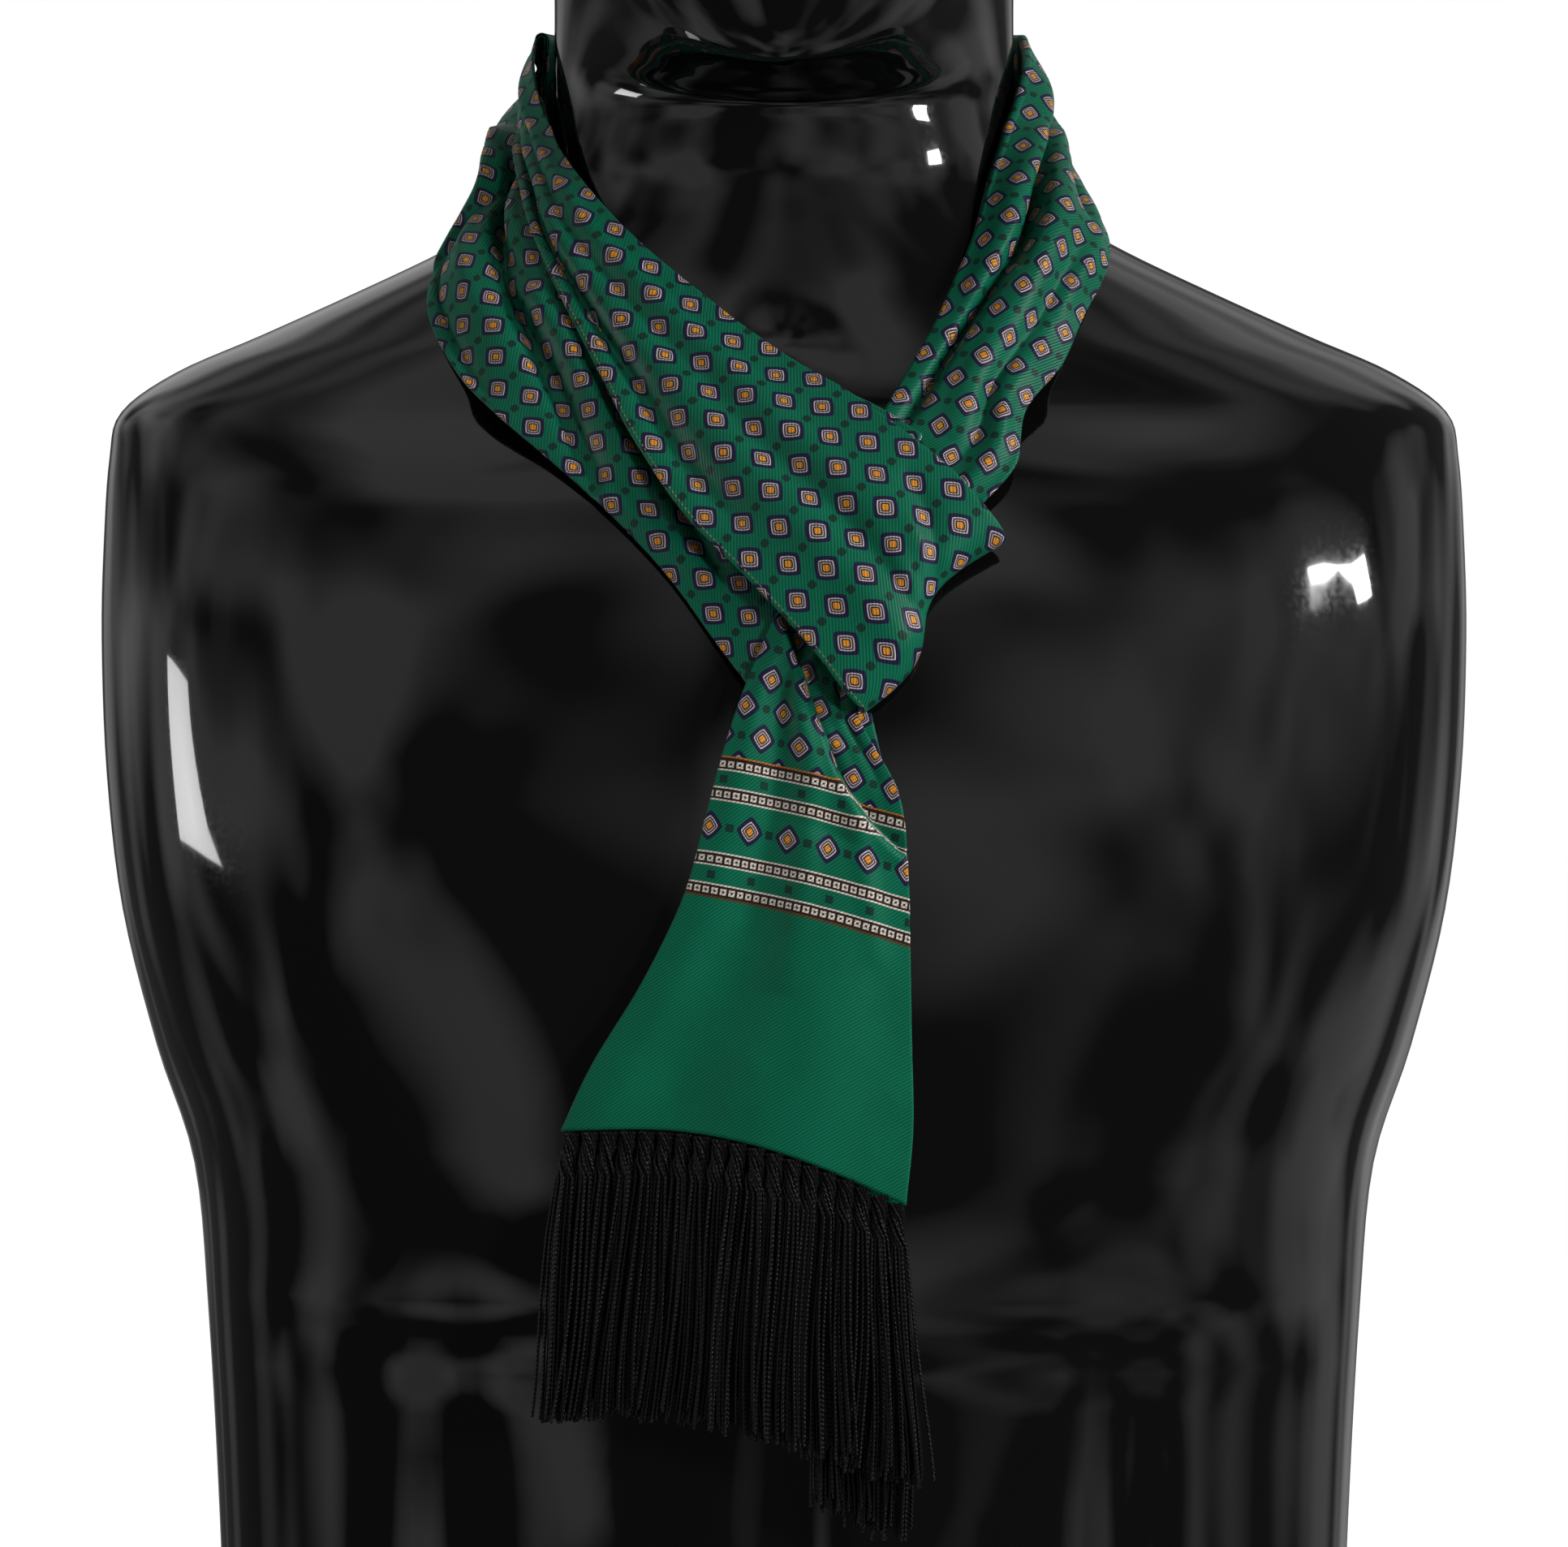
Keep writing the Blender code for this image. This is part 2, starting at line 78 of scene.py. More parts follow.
def linear(hexColour):
    # sRGB hex value to the linear colour that sockets take
    parts = [int(hexColour[i:i + 2], 16) / 255 for i in (1, 3, 5)]
    parts = [p / 12.92 if p <= 0.04045 else ((p + 0.055) / 1.055) ** 2.4 for p in parts]
    return (*parts, 1.0)


def feed(tree, node, inputs):
    # inputs are values, or the sockets that feed them; a node stands for its first output
    for socket, value in inputs.items():
        if isinstance(value, bpy.types.Node):
            value = value.outputs[0]
        if isinstance(value, bpy.types.NodeSocket):
            tree.links.new(value, node.inputs[socket])
        else:
            node.inputs[socket].default_value = value


def addNode(tree, kind, inputs, **settings):
    node = tree.nodes.new(kind)
    for name, value in settings.items():
        setattr(node, name, value)
    feed(tree, node, inputs)
    return node


def fillRamp(node, stops):
    # flat steps of colour, each from its place up to the next; None is clear
    ramp = node.color_ramp
    ramp.interpolation = "CONSTANT"
    while len(ramp.elements) < len(stops):
        ramp.elements.new(1.0)
    for element, (place, colour) in zip(ramp.elements, stops):
        element.position = place
        element.color = linear(colour) if colour else (0, 0, 0, 0)


def startMaterial(name):
    material = bpy.data.materials.new(name)
    material.use_nodes = True
    tree = material.node_tree
    return material, tree, tree.nodes["Principled BSDF"]


def addObject(name, data):
    made = bpy.data.objects.new(name, data)
    bpy.context.scene.collection.objects.link(made)
    return made


def framePoints(points):
    # table millimetres, from the neck's axis, to metres in the shared frame
    return (np.asarray(points) + (0, torsoForm["axisBack"], 0)) * mm


def addMesh(name, points, faces, material, **maps):
    mesh = bpy.data.meshes.new(name)
    mesh.from_pydata(framePoints(points).tolist(), [], faces)
    mesh.materials.append(material)
    for mapName, uv in maps.items():
        layer = mesh.uv_layers.new(name=mapName)
        layer.data.foreach_set("uv", (np.asarray(uv, np.float32) * mm).ravel())
    mesh.shade_smooth()
    return addObject(name, mesh)


# the torso form: rings in mm, with front and back measured from the neck's axis
torsoForm = {
    "axisBack": 8.0,
    "neckTop": 470.0,
    "chestFullest": 246.0,
    "segments": 176,
    "ringsPerRow": 5,
    "lookupRings": 800,
    "beyond": 400.0,            # farther from the axis than any of the form
    "halvings": 36,             # of that reach, until it meets the surface
    "probe": (1.0, 4.0),        # degrees and mm to either side that show which way it faces
    "modelledFrom": (0.0, 0.4),     # the modelling fades out where the form turns to its side
    # height, halfWidth, front, back, power
    "body": [
        (0, 166, 96, 94, 2.4), (60, 168, 99, 93, 2.4), (120, 171, 107, 96, 2.4),
        (165, 175, 114, 100, 2.4), (200, 186, 118, 104, 2.5), (240, 196, 119, 108, 2.6),
        (280, 201, 117, 111, 2.6), (320, 203, 110, 112, 2.6), (350, 203, 101, 111, 2.5),
        (374, 202, 90, 107, 2.4), (388, 199, 81, 103, 2.3), (400, 183, 75, 98, 2.1),
        (411, 158, 71, 93, 2.0), (423, 131, 67, 87, 2.0), (436, 103, 64, 80, 2.0),
        (446, 86, 62, 75, 2.0), (457, 76, 60, 70, 2.0), (470, 70, 60, 67, 2.0)],
    # the same, then the rise, which lifts the back, and the jaw's arch, which lifts the sides
    "head": [
        (475, 69, 61, 66, 1.9, 10, 8), (477.5, 68.5, 72, 66, 1.8, 22, 16),
        (480.5, 68.5, 84, 66, 1.75, 38, 22), (486, 69, 91, 68, 1.8, 44, 24),
        (498, 71, 94.5, 73, 1.95, 45, 22), (520, 74, 97, 81, 2.1, 42, 16),
        (560, 77, 98, 88, 2.2, 30, 6), (600, 79, 97, 94, 2.1, 16, 0),
        (640, 77, 91, 94, 2.1, 6, 0), (670, 68, 76, 84, 2.1, 0, 0), (690, 51, 55, 65, 2.0, 0, 0),
        (701, 32, 34, 44, 2.0, 0, 0), (706, 14, 13, 24, 2.0, 0, 0),
        (707, 4, 2, 12, 2.0, 0, 0), (707.1, 0.4, -4.6, 5.4, 2.0, 0, 0)],
    # shallow modelling of the front, clear of the cloth: x, z, half sizes, mm outward
    "modelling": [
        (98, 384, 62, 13, -4.5), (120, 262, 52, 46, 3.0), (158, 300, 12, 60, -1.6),
        (176, 330, 22, 40, 2.0), (82, 120, 66, 9, -4.5), (92, 158, 60, 24, 3.0),
        (0, 235, 10, 90, -2.5), (0, 62, 9, 60, -3.0), (46, 66, 26, 20, 2.0), (96, 60, 12, 60, -3.5),
        (140, 205, 26, 30, 2.5), (0, 404, 13, 12, -4.0)],
}
allRings = [(*row, 0, 0) for row in torsoForm["body"]] + torsoForm["head"]
bodyPlaces = np.linspace(0, len(torsoForm["body"]) - 1, torsoForm["lookupRings"])
denseRings = rowsAt(allRings, bodyPlaces)


def ringAt(height):
    level = np.clip(height, denseRings[0][0], torsoForm["neckTop"])
    return [np.interp(level, denseRings[0], column) for column in denseRings[1:5]]


def formPoint(turn, height):
    # the form's surface at bearings about the neck's axis (0 front, 90 viewer's right)
    halfWidth, front, back, power = ringAt(height)
    depth, centre = (front + back) / 2, (back - front) / 2
    outX, outY = np.sin(np.radians(turn)), -np.cos(np.radians(turn))
    low, high = np.zeros_like(turn), np.full_like(turn, torsoForm["beyond"])
    for _ in range(torsoForm["halvings"]):
        reach = (low + high) / 2
        inside = (np.abs(reach * outX / halfWidth) ** power
                  + np.abs((reach * outY - centre) / depth) ** power) < 1
        low, high = np.where(inside, reach, low), np.where(inside, high, reach)
    return np.stack([low * outX, low * outY, height], axis=-1)


def onForm(turn, height, lift):
    # points lifted square off the form
    turn, height, lift = np.broadcast_arrays(turn, height, lift)
    beside, above = torsoForm["probe"]
    along = formPoint(turn + beside, height) - formPoint(turn - beside, height)
    up = formPoint(turn, height + above) - formPoint(turn, height - above)
    return formPoint(turn, height) + unit(np.cross(along, up)) * lift[..., None]


def hanging(x, height, lift):
    # points in front of the chest that fall plumb below its fullest part
    halfWidth, front, back, power = ringAt(np.maximum(height, torsoForm["chestFullest"]))
    depth, centre = (front + back) / 2, (back - front) / 2
    y = centre - depth * (1 - np.abs(x / halfWidth) ** power) ** (1 / power)
    return np.stack([x, y - lift, height], axis=-1)


def makeTorsoForm(material):
    steps = (len(allRings) - 1) * torsoForm["ringsPerRow"]
    places = np.linspace(0, len(allRings) - 1, steps + 1)
    height, halfWidth, front, back, power, rise, arch = (
        column[:, None] for column in rowsAt(allRings, places))
    count = torsoForm["segments"]
    angle = np.linspace(0, 2 * np.pi, count, endpoint=False)[None, :]
    side, ahead = np.sin(angle), np.cos(angle)
    depth, centre = (front + back) / 2, (back - front) / 2
    x = halfWidth * np.sign(side) * np.abs(side) ** (2 / power)
    y = centre - depth * np.sign(ahead) * np.abs(ahead) ** (2 / power)
    z = height + rise * (y + front) / (front + back) + arch * side**2
    for middleX, middleZ, halfX, halfZ, outward in torsoForm["modelling"]:
        share = ((np.abs(x) - middleX) / halfX) ** 2 + ((height - middleZ) / halfZ) ** 2
        y = y - outward * np.exp(-share) * smoothStep(ahead, *torsoForm["modelledFrom"])
    points = np.stack([x, y, z], axis=-1).reshape(-1, 3)
    faces = []
    for ring in range(steps):
        for segment in range(count):
            after = (segment + 1) % count
            low, high = ring * count, (ring + 1) * count
            faces.append((low + segment, low + after, high + after, high + segment))
    faces.append(tuple(reversed(range(count))))
    faces.append(tuple(range(steps * count, (steps + 1) * count)))
    made = addMesh("torsoForm", points, faces, material)
    made.data.polygons[-2].use_smooth = False    # the flat base
    return made


# the cloth: every stretch is a grid of points, one row of it for each section
twill = {
    "doubled": 1.2,         # two layers of twill, pressed
    "layer": 0.32,
    "edgeSteps": 4,         # round each long edge
    "foldSteps": 7,         # round the lengthwise fold along the neck
    "lowest": 1.5,          # middle of the cloth above the form where it lies closest
    "innerColumns": 24,
    "outerColumns": 84,
    "bellySkew": 1.6,       # how far a belly leans to one edge
    "offSeam": 99.0,        # mm, for all that lies away from the sewn edge
    "flatRounds": 10,       # of laying a stretch out flat
    "flatSteps": 120,       # of each round
}


def positions(piece, table="rows"):
    # fractional row numbers, one for each section
    start, last = piece.get("start", 0.0), len(piece[table]) - 1
    return np.linspace(start, last, int(round((last - start) * piece["sectionsPerRow"])) + 1)


def creaseLift(creases, position, across):
    # mm outward; a crease runs between two positions, and drifts across as it runs
    total = np.zeros(np.broadcast(position, across).shape)
    for first, last, acrossFirst, acrossLast, width, height in creases:
        share = np.clip((position - first) / (last - first), 0, 1)
        centre = acrossFirst + (acrossLast - acrossFirst) * share
        fade = np.sqrt(np.maximum(np.sin(np.pi * share), 0))
        total = total + height * fade * np.exp(-((across - centre) / width) ** 2)
    return total


def bandGrid(rows, creases, position, columns):
    # one layer of the band, from its near to its far edge
    position, across = position[:, None], np.linspace(0, 1, columns)[None, :]
    nearTurn, nearZ, nearLift, farTurn, farZ, farLift, bow, belly = rowsAt(rows, position)
    middle = np.sin(np.pi * across)
    lift = nearLift + (farLift - nearLift) * across + bow * middle
    lift = lift + creaseLift(creases, position, across)
    turn = nearTurn + (farTurn - nearTurn) * across
    turn = turn + belly * (middle + twill["bellySkew"] * np.sin(2 * np.pi * across))
    return onForm(turn, nearZ + (farZ - nearZ) * across, np.maximum(lift, twill["lowest"]))


def foldedGrid(piece):
    # two layers joined by a half round along the near edge
    position = positions(piece, "outer")
    under = bandGrid(piece["inner"], [], position, twill["innerColumns"])[:, ::-1]
    over = bandGrid(piece["outer"], piece["creases"], position, twill["outerColumns"])
    middle, side = (over[:, 0] + under[:, -1]) / 2, (over[:, 0] - under[:, -1]) / 2
    radius = np.linalg.norm(side, axis=-1, keepdims=True)
    up = np.array((0.0, 0.0, 1.0)) * np.ones_like(side)
    up -= unit(side) * np.sum(up * unit(side), axis=-1, keepdims=True)
    angles = np.linspace(0, np.pi, twill["foldSteps"] + 2)[1:-1]
    fold = [middle - side * np.cos(a) + up * radius * np.sin(a) for a in angles]
    return np.concatenate([under, np.stack(fold, axis=1), over], axis=1)


def tailGrid(piece):
    # a hanging end, from its left to its right edge
    position, across = positions(piece)[:, None], np.linspace(0, 1, piece["columns"])[None, :]
    leftX, leftZ, leftLift, rightX, rightZ, rightLift, arch = rowsAt(piece["rows"], position)
    lift = leftLift + (rightLift - leftLift) * across
    lift = lift + creaseLift(piece["creases"], position, across)
    x = leftX + (rightX - leftX) * across
    z = leftZ + (rightZ - leftZ) * across + arch * np.sin(np.pi * across)
    return hanging(x, z, lift)


def edgeSums(values, axis):
    # what each grid point gets from the edges on either side of it
    pad = [(0, 0), (0, 0)]
    pad[axis] = (1, 0)
    arriving = np.pad(values, pad)
    pad[axis] = (0, 1)
    return arriving - np.pad(values, pad)


def clothMap(grid, foldColumn, byHem=False, printScale=1.0):
    # lays a stretch out flat, stretching it as little as can be; mm, u across and v along
    across, along = np.diff(grid, axis=1), np.diff(grid, axis=0)
    widths = np.linalg.norm(across, axis=2)
    lengths = np.linalg.norm(along, axis=2)
    flat = np.cumsum(np.pad(widths, ((0, 0), (1, 0))), axis=1) + 0j
    flat += 1j * np.cumsum(np.pad(lengths.mean(axis=1), (1, 0)))[:, None]
    cellAcross = (across[1:] + across[:-1]) / 2
    cellAlong = (along[:, 1:] + along[:, :-1]) / 2
    wide = np.linalg.norm(cellAcross, axis=2)
    slip = np.sum(cellAcross * cellAlong, axis=2) / wide
    rise = np.linalg.norm(np.cross(cellAcross, cellAlong), axis=2) / wide
    cell = slip + 1j * rise
    for _ in range(twill["flatRounds"]):
        flatAcross, flatAlong = np.diff(flat, axis=1), np.diff(flat, axis=0)
        turn = (flatAcross[1:] + flatAcross[:-1]) * wide
        turn = turn + (flatAlong[:, 1:] + flatAlong[:, :-1]) * np.conj(cell)
        turn /= np.abs(turn)
        wantAcross, wantAlong = turn * wide, turn * cell
        wantAcross = (np.pad(wantAcross, ((1, 0), (0, 0)), "edge")
                      + np.pad(wantAcross, ((0, 1), (0, 0)), "edge")) / 2
        wantAlong = (np.pad(wantAlong, ((0, 0), (1, 0)), "edge")
                     + np.pad(wantAlong, ((0, 0), (0, 1)), "edge")) / 2
        rest = edgeSums(wantAcross - flatAcross, 1) + edgeSums(wantAlong - flatAlong, 0)
        step, size = rest.copy(), np.vdot(rest, rest).real
        for _ in range(twill["flatSteps"]):
            pulled = edgeSums(np.diff(step, axis=1), 1) + edgeSums(np.diff(step, axis=0), 0)
            share = size / np.vdot(step, pulled).real
            flat += share * step
            rest -= share * pulled
            left = np.vdot(rest, rest).real
            step = rest + left / size * step
            size = left
    fold = flat[:, foldColumn]
    facing = (flat[0, -1] - flat[0, 0]) if byHem else (fold[-1] - fold[0]) / 1j
    flat = (flat - fold[0]) / np.exp(1j * np.angle(facing)) / printScale
    return flat.real - (0 if byHem else flat.real[:, foldColumn].mean()), flat.imag


def rolledLoop(grid, u, v):
    # once round two layers back to back, rolled over at their long edges; its flat places
    along = np.gradient(grid, axis=0)
    across = np.gradient(grid, axis=1)
    normal = unit(np.cross(across, along))
    facing = np.sign(np.sum(normal[:, -1] * (grid[:, -1] * (1, 1, 0))))
    half = twill["doubled"] / 2
    out = normal * facing * half
    angles = np.linspace(0, np.pi, twill["edgeSteps"] + 2)[1:-1]
    nearSide, farSide = -unit(across[:, 0]) * half, unit(across[:, -1]) * half
    near = [grid[:, 0] - out[:, 0] * math.cos(a) + nearSide * math.sin(a) for a in angles]
    far = [grid[:, -1] + out[:, -1] * math.cos(a) + farSide * math.sin(a) for a in angles]
    loop = np.concatenate([np.stack(near, 1), grid + out, np.stack(far, 1),
                           (grid - out)[:, ::-1]], axis=1)
    arcs = angles * half
    turned = 2 * u[:, -1:] + math.pi * half
    loopU = np.concatenate([u[:, :1] - arcs[::-1], u, u[:, -1:] + arcs, turned - u[:, ::-1],
                            turned - u[:, :1] + arcs[:1]], axis=1)
    loopV = np.concatenate([np.repeat(v[:, :1], len(arcs), 1), v,
                            np.repeat(v[:, -1:], len(arcs), 1), v[:, ::-1], v[:, :1]], axis=1)
    return loop, np.stack([loopU, loopV], axis=-1), facing < 0


def tubePolygons(rows, count, wide, hemmed):
    # corners as row and place round the loop; a hem closes the first row
    polygons = [[(row, place), (row, place + 1), (row + 1, place + 1), (row + 1, place)]
                for row in range(rows - 1) for place in range(count)]
    if hemmed:
        near = range(twill["edgeSteps"])
        top = range(len(near), len(near) + wide)
        far = range(top[-1] + 1, top[-1] + 1 + len(near))
        bottom = range(count - 1, far[-1], -1)
        hem = [[bottom[c], bottom[c + 1], top[c + 1], top[c]] for c in range(wide - 1)]
        hem += [[top[0], *near[::-1], bottom[0]], [bottom[-1], *far[::-1], top[-1]]]
        polygons += [[(0, place) for place in corners] for corners in hem]
    return polygons


def seamChart(grid, count):
    # run of the sewn edge, and how far in from it each place lies
    run = np.cumsum(np.pad(np.linalg.norm(np.diff(grid[:, -1], axis=0), axis=1), (1, 0)))
    chart = np.full((len(grid), count + 1, 2), twill["offSeam"])
    upper = slice(twill["edgeSteps"], twill["edgeSteps"] + grid.shape[1])
    chart[:, upper, 1] = np.linalg.norm(grid - grid[:, -1:], axis=2)
    chart[..., 0] = run[:, None]
    return chart


def layCloth(name, node, piece, held, grid, u, v, hemmed=False, sewn=False):
    # two layers of twill as one tube
    loop, flat, inverted = rolledLoop(grid, u, v)
    rows, count = loop.shape[:2]
    polygons = tubePolygons(rows, count, grid.shape[1], hemmed)
    if inverted:
        polygons = [corners[::-1] for corners in polygons]
    faces = [[row * count + place % count for row, place in corners] for corners in polygons]
    corners = tuple(np.array([corner for corners in polygons for corner in corners]).T)
    maps = {"clothMap": flat[corners]}
    if sewn:
        maps["seamMap"] = seamChart(grid, count)[corners]
    made = addMesh(name, loop.reshape(-1, 3), faces, silkTwill, **maps)
    wall = made.modifiers.new("wall", "SOLIDIFY")
    wall.thickness = twill["layer"] * mm
    wall.offset = -1.0
    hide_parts(node)
    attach(made, "root")


# printed silk twill: degummed silk in a 2/2 weave, which gives a soft lustre over fine
# slanting ribs
silkPrint = {
    "green": "#0E7456",
    "greenShade": "#0A5B42",
    "navy": "#1F1F3C",
    "ring": "#C6B9BB",
    "gap": "#4E4247",
    "brown": "#33241F",
    "orange": "#DD9230",
    "dot": "#16382F",
    "bandGround": "#2A1E19",
    "bandWhite": "#D8CFC4",
    "bandOrange": "#B5702C",
    "bandOlive": "#57452A",
    "acrossStep": 5.75,     # mm between motif and dot, across the scarf
    "alongStep": 8.5,
    "motifWide": 3.75,      # half sizes of a motif
    "motifLong": 4.25,
    "motifPower": 1.22,     # how round its corners are: 1 is a diamond, 2 an ellipse
    "dotHalf": 1.12,
    "dotPower": 3.0,
    "borderStart": 72.5,    # from the hem to the lowest line of the border
    "borderHigh": 40.2,
    "squarePitch": 2.45,    # the beads of a border stripe
    "squareHalf": 0.875,
    "squareHeart": 0.32,
    "bandCentres": (2.15, 10.95, 29.45, 37.95),
    "diamondCentre": 20.2,
    "dotCentres": (6.5, 33.7),
    "dotRowShift": 2.3,
    "wander": (160.0, 0.16),    # the screen print strays from its chart: noise scale, mm
    # the stripes: start and end of the ground in mm from the lowest line, and the line
    # below and above it
    "bands": [
        (0.5, 3.55, "bandOlive", "bandWhite"), (9.4, 12.5, "bandWhite", "bandWhite"),
        (27.9, 31.0, "bandWhite", "bandWhite"), (36.4, 39.7, "bandWhite", "bandOrange")],
    "bandLine": 0.5,
    # share of a motif's half size and what starts there
    "motifStops": [
        (0.0, "orange"), (0.27, "brown"), (0.385, "ring"), (0.45, "gap"), (0.58, "ring"),
        (0.67, "navy")],
}
silkWeave = {
    "ribPitch": 0.83,           # mm, one twill line, square to itself
    "paintedRibShading": (0.6, 1.16),    # painted shade in the valleys of the ribs, up to a painted highlight on their tops
    "ribHigh": 0.09,
    "reliefStrength": 0.55,
    "slub": (900.0, 0.35),      # uneven yarn: noise scale, share of a rib's height
    "cloudScale": 45.0,         # slow changes of dye and lustre
    "roughness": (0.36, 0.5),
    "specular": 0.24,
    "sheen": (0.06, 0.35, "#7FE0BE"),   # weight, roughness, tint
    "stitch": "#8F815F",
    "stitchPitch": 1.6,
    "stitchShare": 0.55,        # of its pitch that a stitch covers
    "stitchLine": (0.75, 0.17),     # mm in from the sewn edge, half of the thread's width
}


def makeSilkTwill():
    material, tree, shader = startMaterial("printedSilkTwill")
    chart, weave = silkPrint, silkWeave
    uvMap = addNode(tree, "ShaderNodeUVMap", {}, uv_map="clothMap")
    seamMap = addNode(tree, "ShaderNodeUVMap", {}, uv_map="seamMap")
    seam = addNode(tree, "ShaderNodeSeparateXYZ", {0: seamMap})
    # sockets of a noise: 0 place, 2 scale, 3 detail; of a map range: 1 and 2 from, 3 and 4 to
    wander = addNode(tree, "ShaderNodeTexNoise", {0: uvMap, 2: chart["wander"][0], 3: 2.0})
    centred = addNode(tree, "ShaderNodeVectorMath", {0: wander.outputs[1], 1: (0.5, 0.5, 0.5)},
                      operation="SUBTRACT")
    flat = addNode(tree, "ShaderNodeVectorMath", {0: uvMap, 3: 1 / mm}, operation="SCALE")
    printed = addNode(tree, "ShaderNodeVectorMath",
                      {0: centred, 1: (chart["wander"][1], chart["wander"][1], 0.0), 2: flat},
                      operation="MULTIPLY_ADD")
    split = addNode(tree, "ShaderNodeSeparateXYZ", {0: printed})
    plain = addNode(tree, "ShaderNodeSeparateXYZ", {0: flat})
    away = chart["borderStart"]     # mm, farther than any band or row of dots is looked for
    value = {"u": split, "v": split.outputs[1], "bandNear": away, "dotsNear": away,
             "threadU": plain, "threadV": plain.outputs[1],
             "seamRun": seam, "seamIn": seam.outputs[1]}
    # each step: its name, what is done, and the values or earlier steps it is done to
    steps = [
        # small slanting stitches along the sewn edge
        ("stitchRow", "COMPARE", "seamIn", *(mm * size for size in weave["stitchLine"])),
        ("stitchPlace", "WRAP", "seamRun", 0.0, weave["stitchPitch"] * mm),
        ("stitchOn", "LESS_THAN", "stitchPlace", weave["stitchShare"] * weave["stitchPitch"] * mm),
        ("stitchShown", "MULTIPLY", "stitchRow", "stitchOn"),
        # foulard lattice: motifs on whole numbers of slantA and slantB, dots on the halves
        ("uShare", "DIVIDE", "u", 2 * chart["acrossStep"]),
        ("vShare", "DIVIDE", "v", 2 * chart["alongStep"]),
        ("slantA", "ADD", "uShare", "vShare"),
        ("slantB", "SUBTRACT", "uShare", "vShare"),
    ]
    for cell, shift in (("lattice", 0.0), ("dot", 0.5)):
        steps += [
            ("shiftedA", "ADD", "slantA", shift),
            ("shiftedB", "ADD", "slantB", shift),
            ("cellA", "WRAP", "shiftedA", 0.5, -0.5),
            ("cellB", "WRAP", "shiftedB", 0.5, -0.5),
            ("cellSum", "ADD", "cellA", "cellB"),
            ("cellGap", "SUBTRACT", "cellA", "cellB"),
            (cell + "X", "MULTIPLY", "cellSum", chart["acrossStep"]),
            (cell + "Y", "MULTIPLY", "cellGap", chart["alongStep"]),
        ]
    steps += [
        # the border: one row of motifs with dots between, two rows of dots, four bands
        ("rise", "SUBTRACT", "v", chart["borderStart"]),
        ("aboveStart", "GREATER_THAN", "rise", 0.0),
        ("belowTop", "LESS_THAN", "rise", chart["borderHigh"]),
        ("inBorder", "MULTIPLY", "aboveStart", "belowTop"),
    ]
    for near, centres in (("bandNear", chart["bandCentres"]), ("dotsNear", chart["dotCentres"])):
        for centre in centres:
            steps += [("gap", "SUBTRACT", "rise", centre), ("gapSize", "ABSOLUTE", "gap"),
                      (near, "MINIMUM", near, "gapSize")]
    steps += [
        ("dotRowU", "SUBTRACT", "u", chart["dotRowShift"]),
        ("dotRowAway", "PINGPONG", "dotRowU", chart["acrossStep"]),
        ("dotRowSize", "MAXIMUM", "dotRowAway", "dotsNear"),
        ("rowX", "WRAP", "u", chart["acrossStep"], -chart["acrossStep"]),
        ("rowY", "SUBTRACT", "rise", chart["diamondCentre"]),
        ("rowAway", "ABSOLUTE", "rowY"),
        ("besideU", "ADD", "u", chart["acrossStep"]),
        ("besideAway", "PINGPONG", "besideU", chart["acrossStep"]),
        ("besideSize", "MAXIMUM", "besideAway", "rowAway"),
        ("borderDot", "MINIMUM", "dotRowSize", "besideSize"),
        ("squareAway", "PINGPONG", "u", chart["squarePitch"] / 2),
        ("squareSize", "MAXIMUM", "squareAway", "bandNear"),
        ("squareIn", "LESS_THAN", "squareSize", chart["squareHalf"]),
        ("squareRing", "GREATER_THAN", "squareSize", chart["squareHeart"]),
        ("square", "MULTIPLY", "squareIn", "squareRing"),
        ("squareShown", "MULTIPLY", "square", "inBorder"),
        # the motif that a place looks at: in the border its row's, above it the lattice's
        ("xGap", "SUBTRACT", "rowX", "latticeX"),
        ("yGap", "SUBTRACT", "rowY", "latticeY"),
        ("motifX", "MULTIPLY_ADD", "xGap", "inBorder", "latticeX"),
        ("motifY", "MULTIPLY_ADD", "yGap", "inBorder", "latticeY"),
    ]
    # how far out in its shape a place lies; 1 is a motif's edge, and a dot's is in mm
    shapes = (("motif", chart["motifWide"], chart["motifLong"], chart["motifPower"]),
              ("dot", 1.0, 1.0, chart["dotPower"]))
    for shape, wide, long, power in shapes:
        for way, half in (("X", wide), ("Y", long)):
            steps += [("away", "ABSOLUTE", shape + way), ("share", "DIVIDE", "away", half),
                      ("power" + way, "POWER", "share", power)]
        steps += [("powers", "ADD", "powerX", "powerY"),
                  (shape + "Size", "POWER", "powers", 1 / power)]
    steps += [
        ("motifIn", "LESS_THAN", "motifSize", 1.0),
        ("motifShown", "MULTIPLY", "motifIn", "aboveStart"),
        ("dotGap", "SUBTRACT", "borderDot", "dotSize"),
        ("dotReach", "MULTIPLY_ADD", "dotGap", "inBorder", "dotSize"),
        ("dotIn", "LESS_THAN", "dotReach", chart["dotHalf"]),
        ("dotShown", "MULTIPLY", "dotIn", "aboveStart"),
        ("borderPlace", "DIVIDE", "rise", chart["borderHigh"] + 1),
        # the ribs run at 45 degrees to the selvedge
        ("slant", "SUBTRACT", "threadU", "threadV"),
        ("ribTurn", "MULTIPLY", "slant", 2 * math.pi / (weave["ribPitch"] * math.sqrt(2))),
        ("ribWave", "SINE", "ribTurn"),
        ("rib", "MULTIPLY_ADD", "ribWave", 0.5, 0.5),
    ]
    for result, operation, *terms in steps:
        inputs = {i: value.get(term, term) for i, term in enumerate(terms)}
        value[result] = addNode(tree, "ShaderNodeMath", inputs, operation=operation)

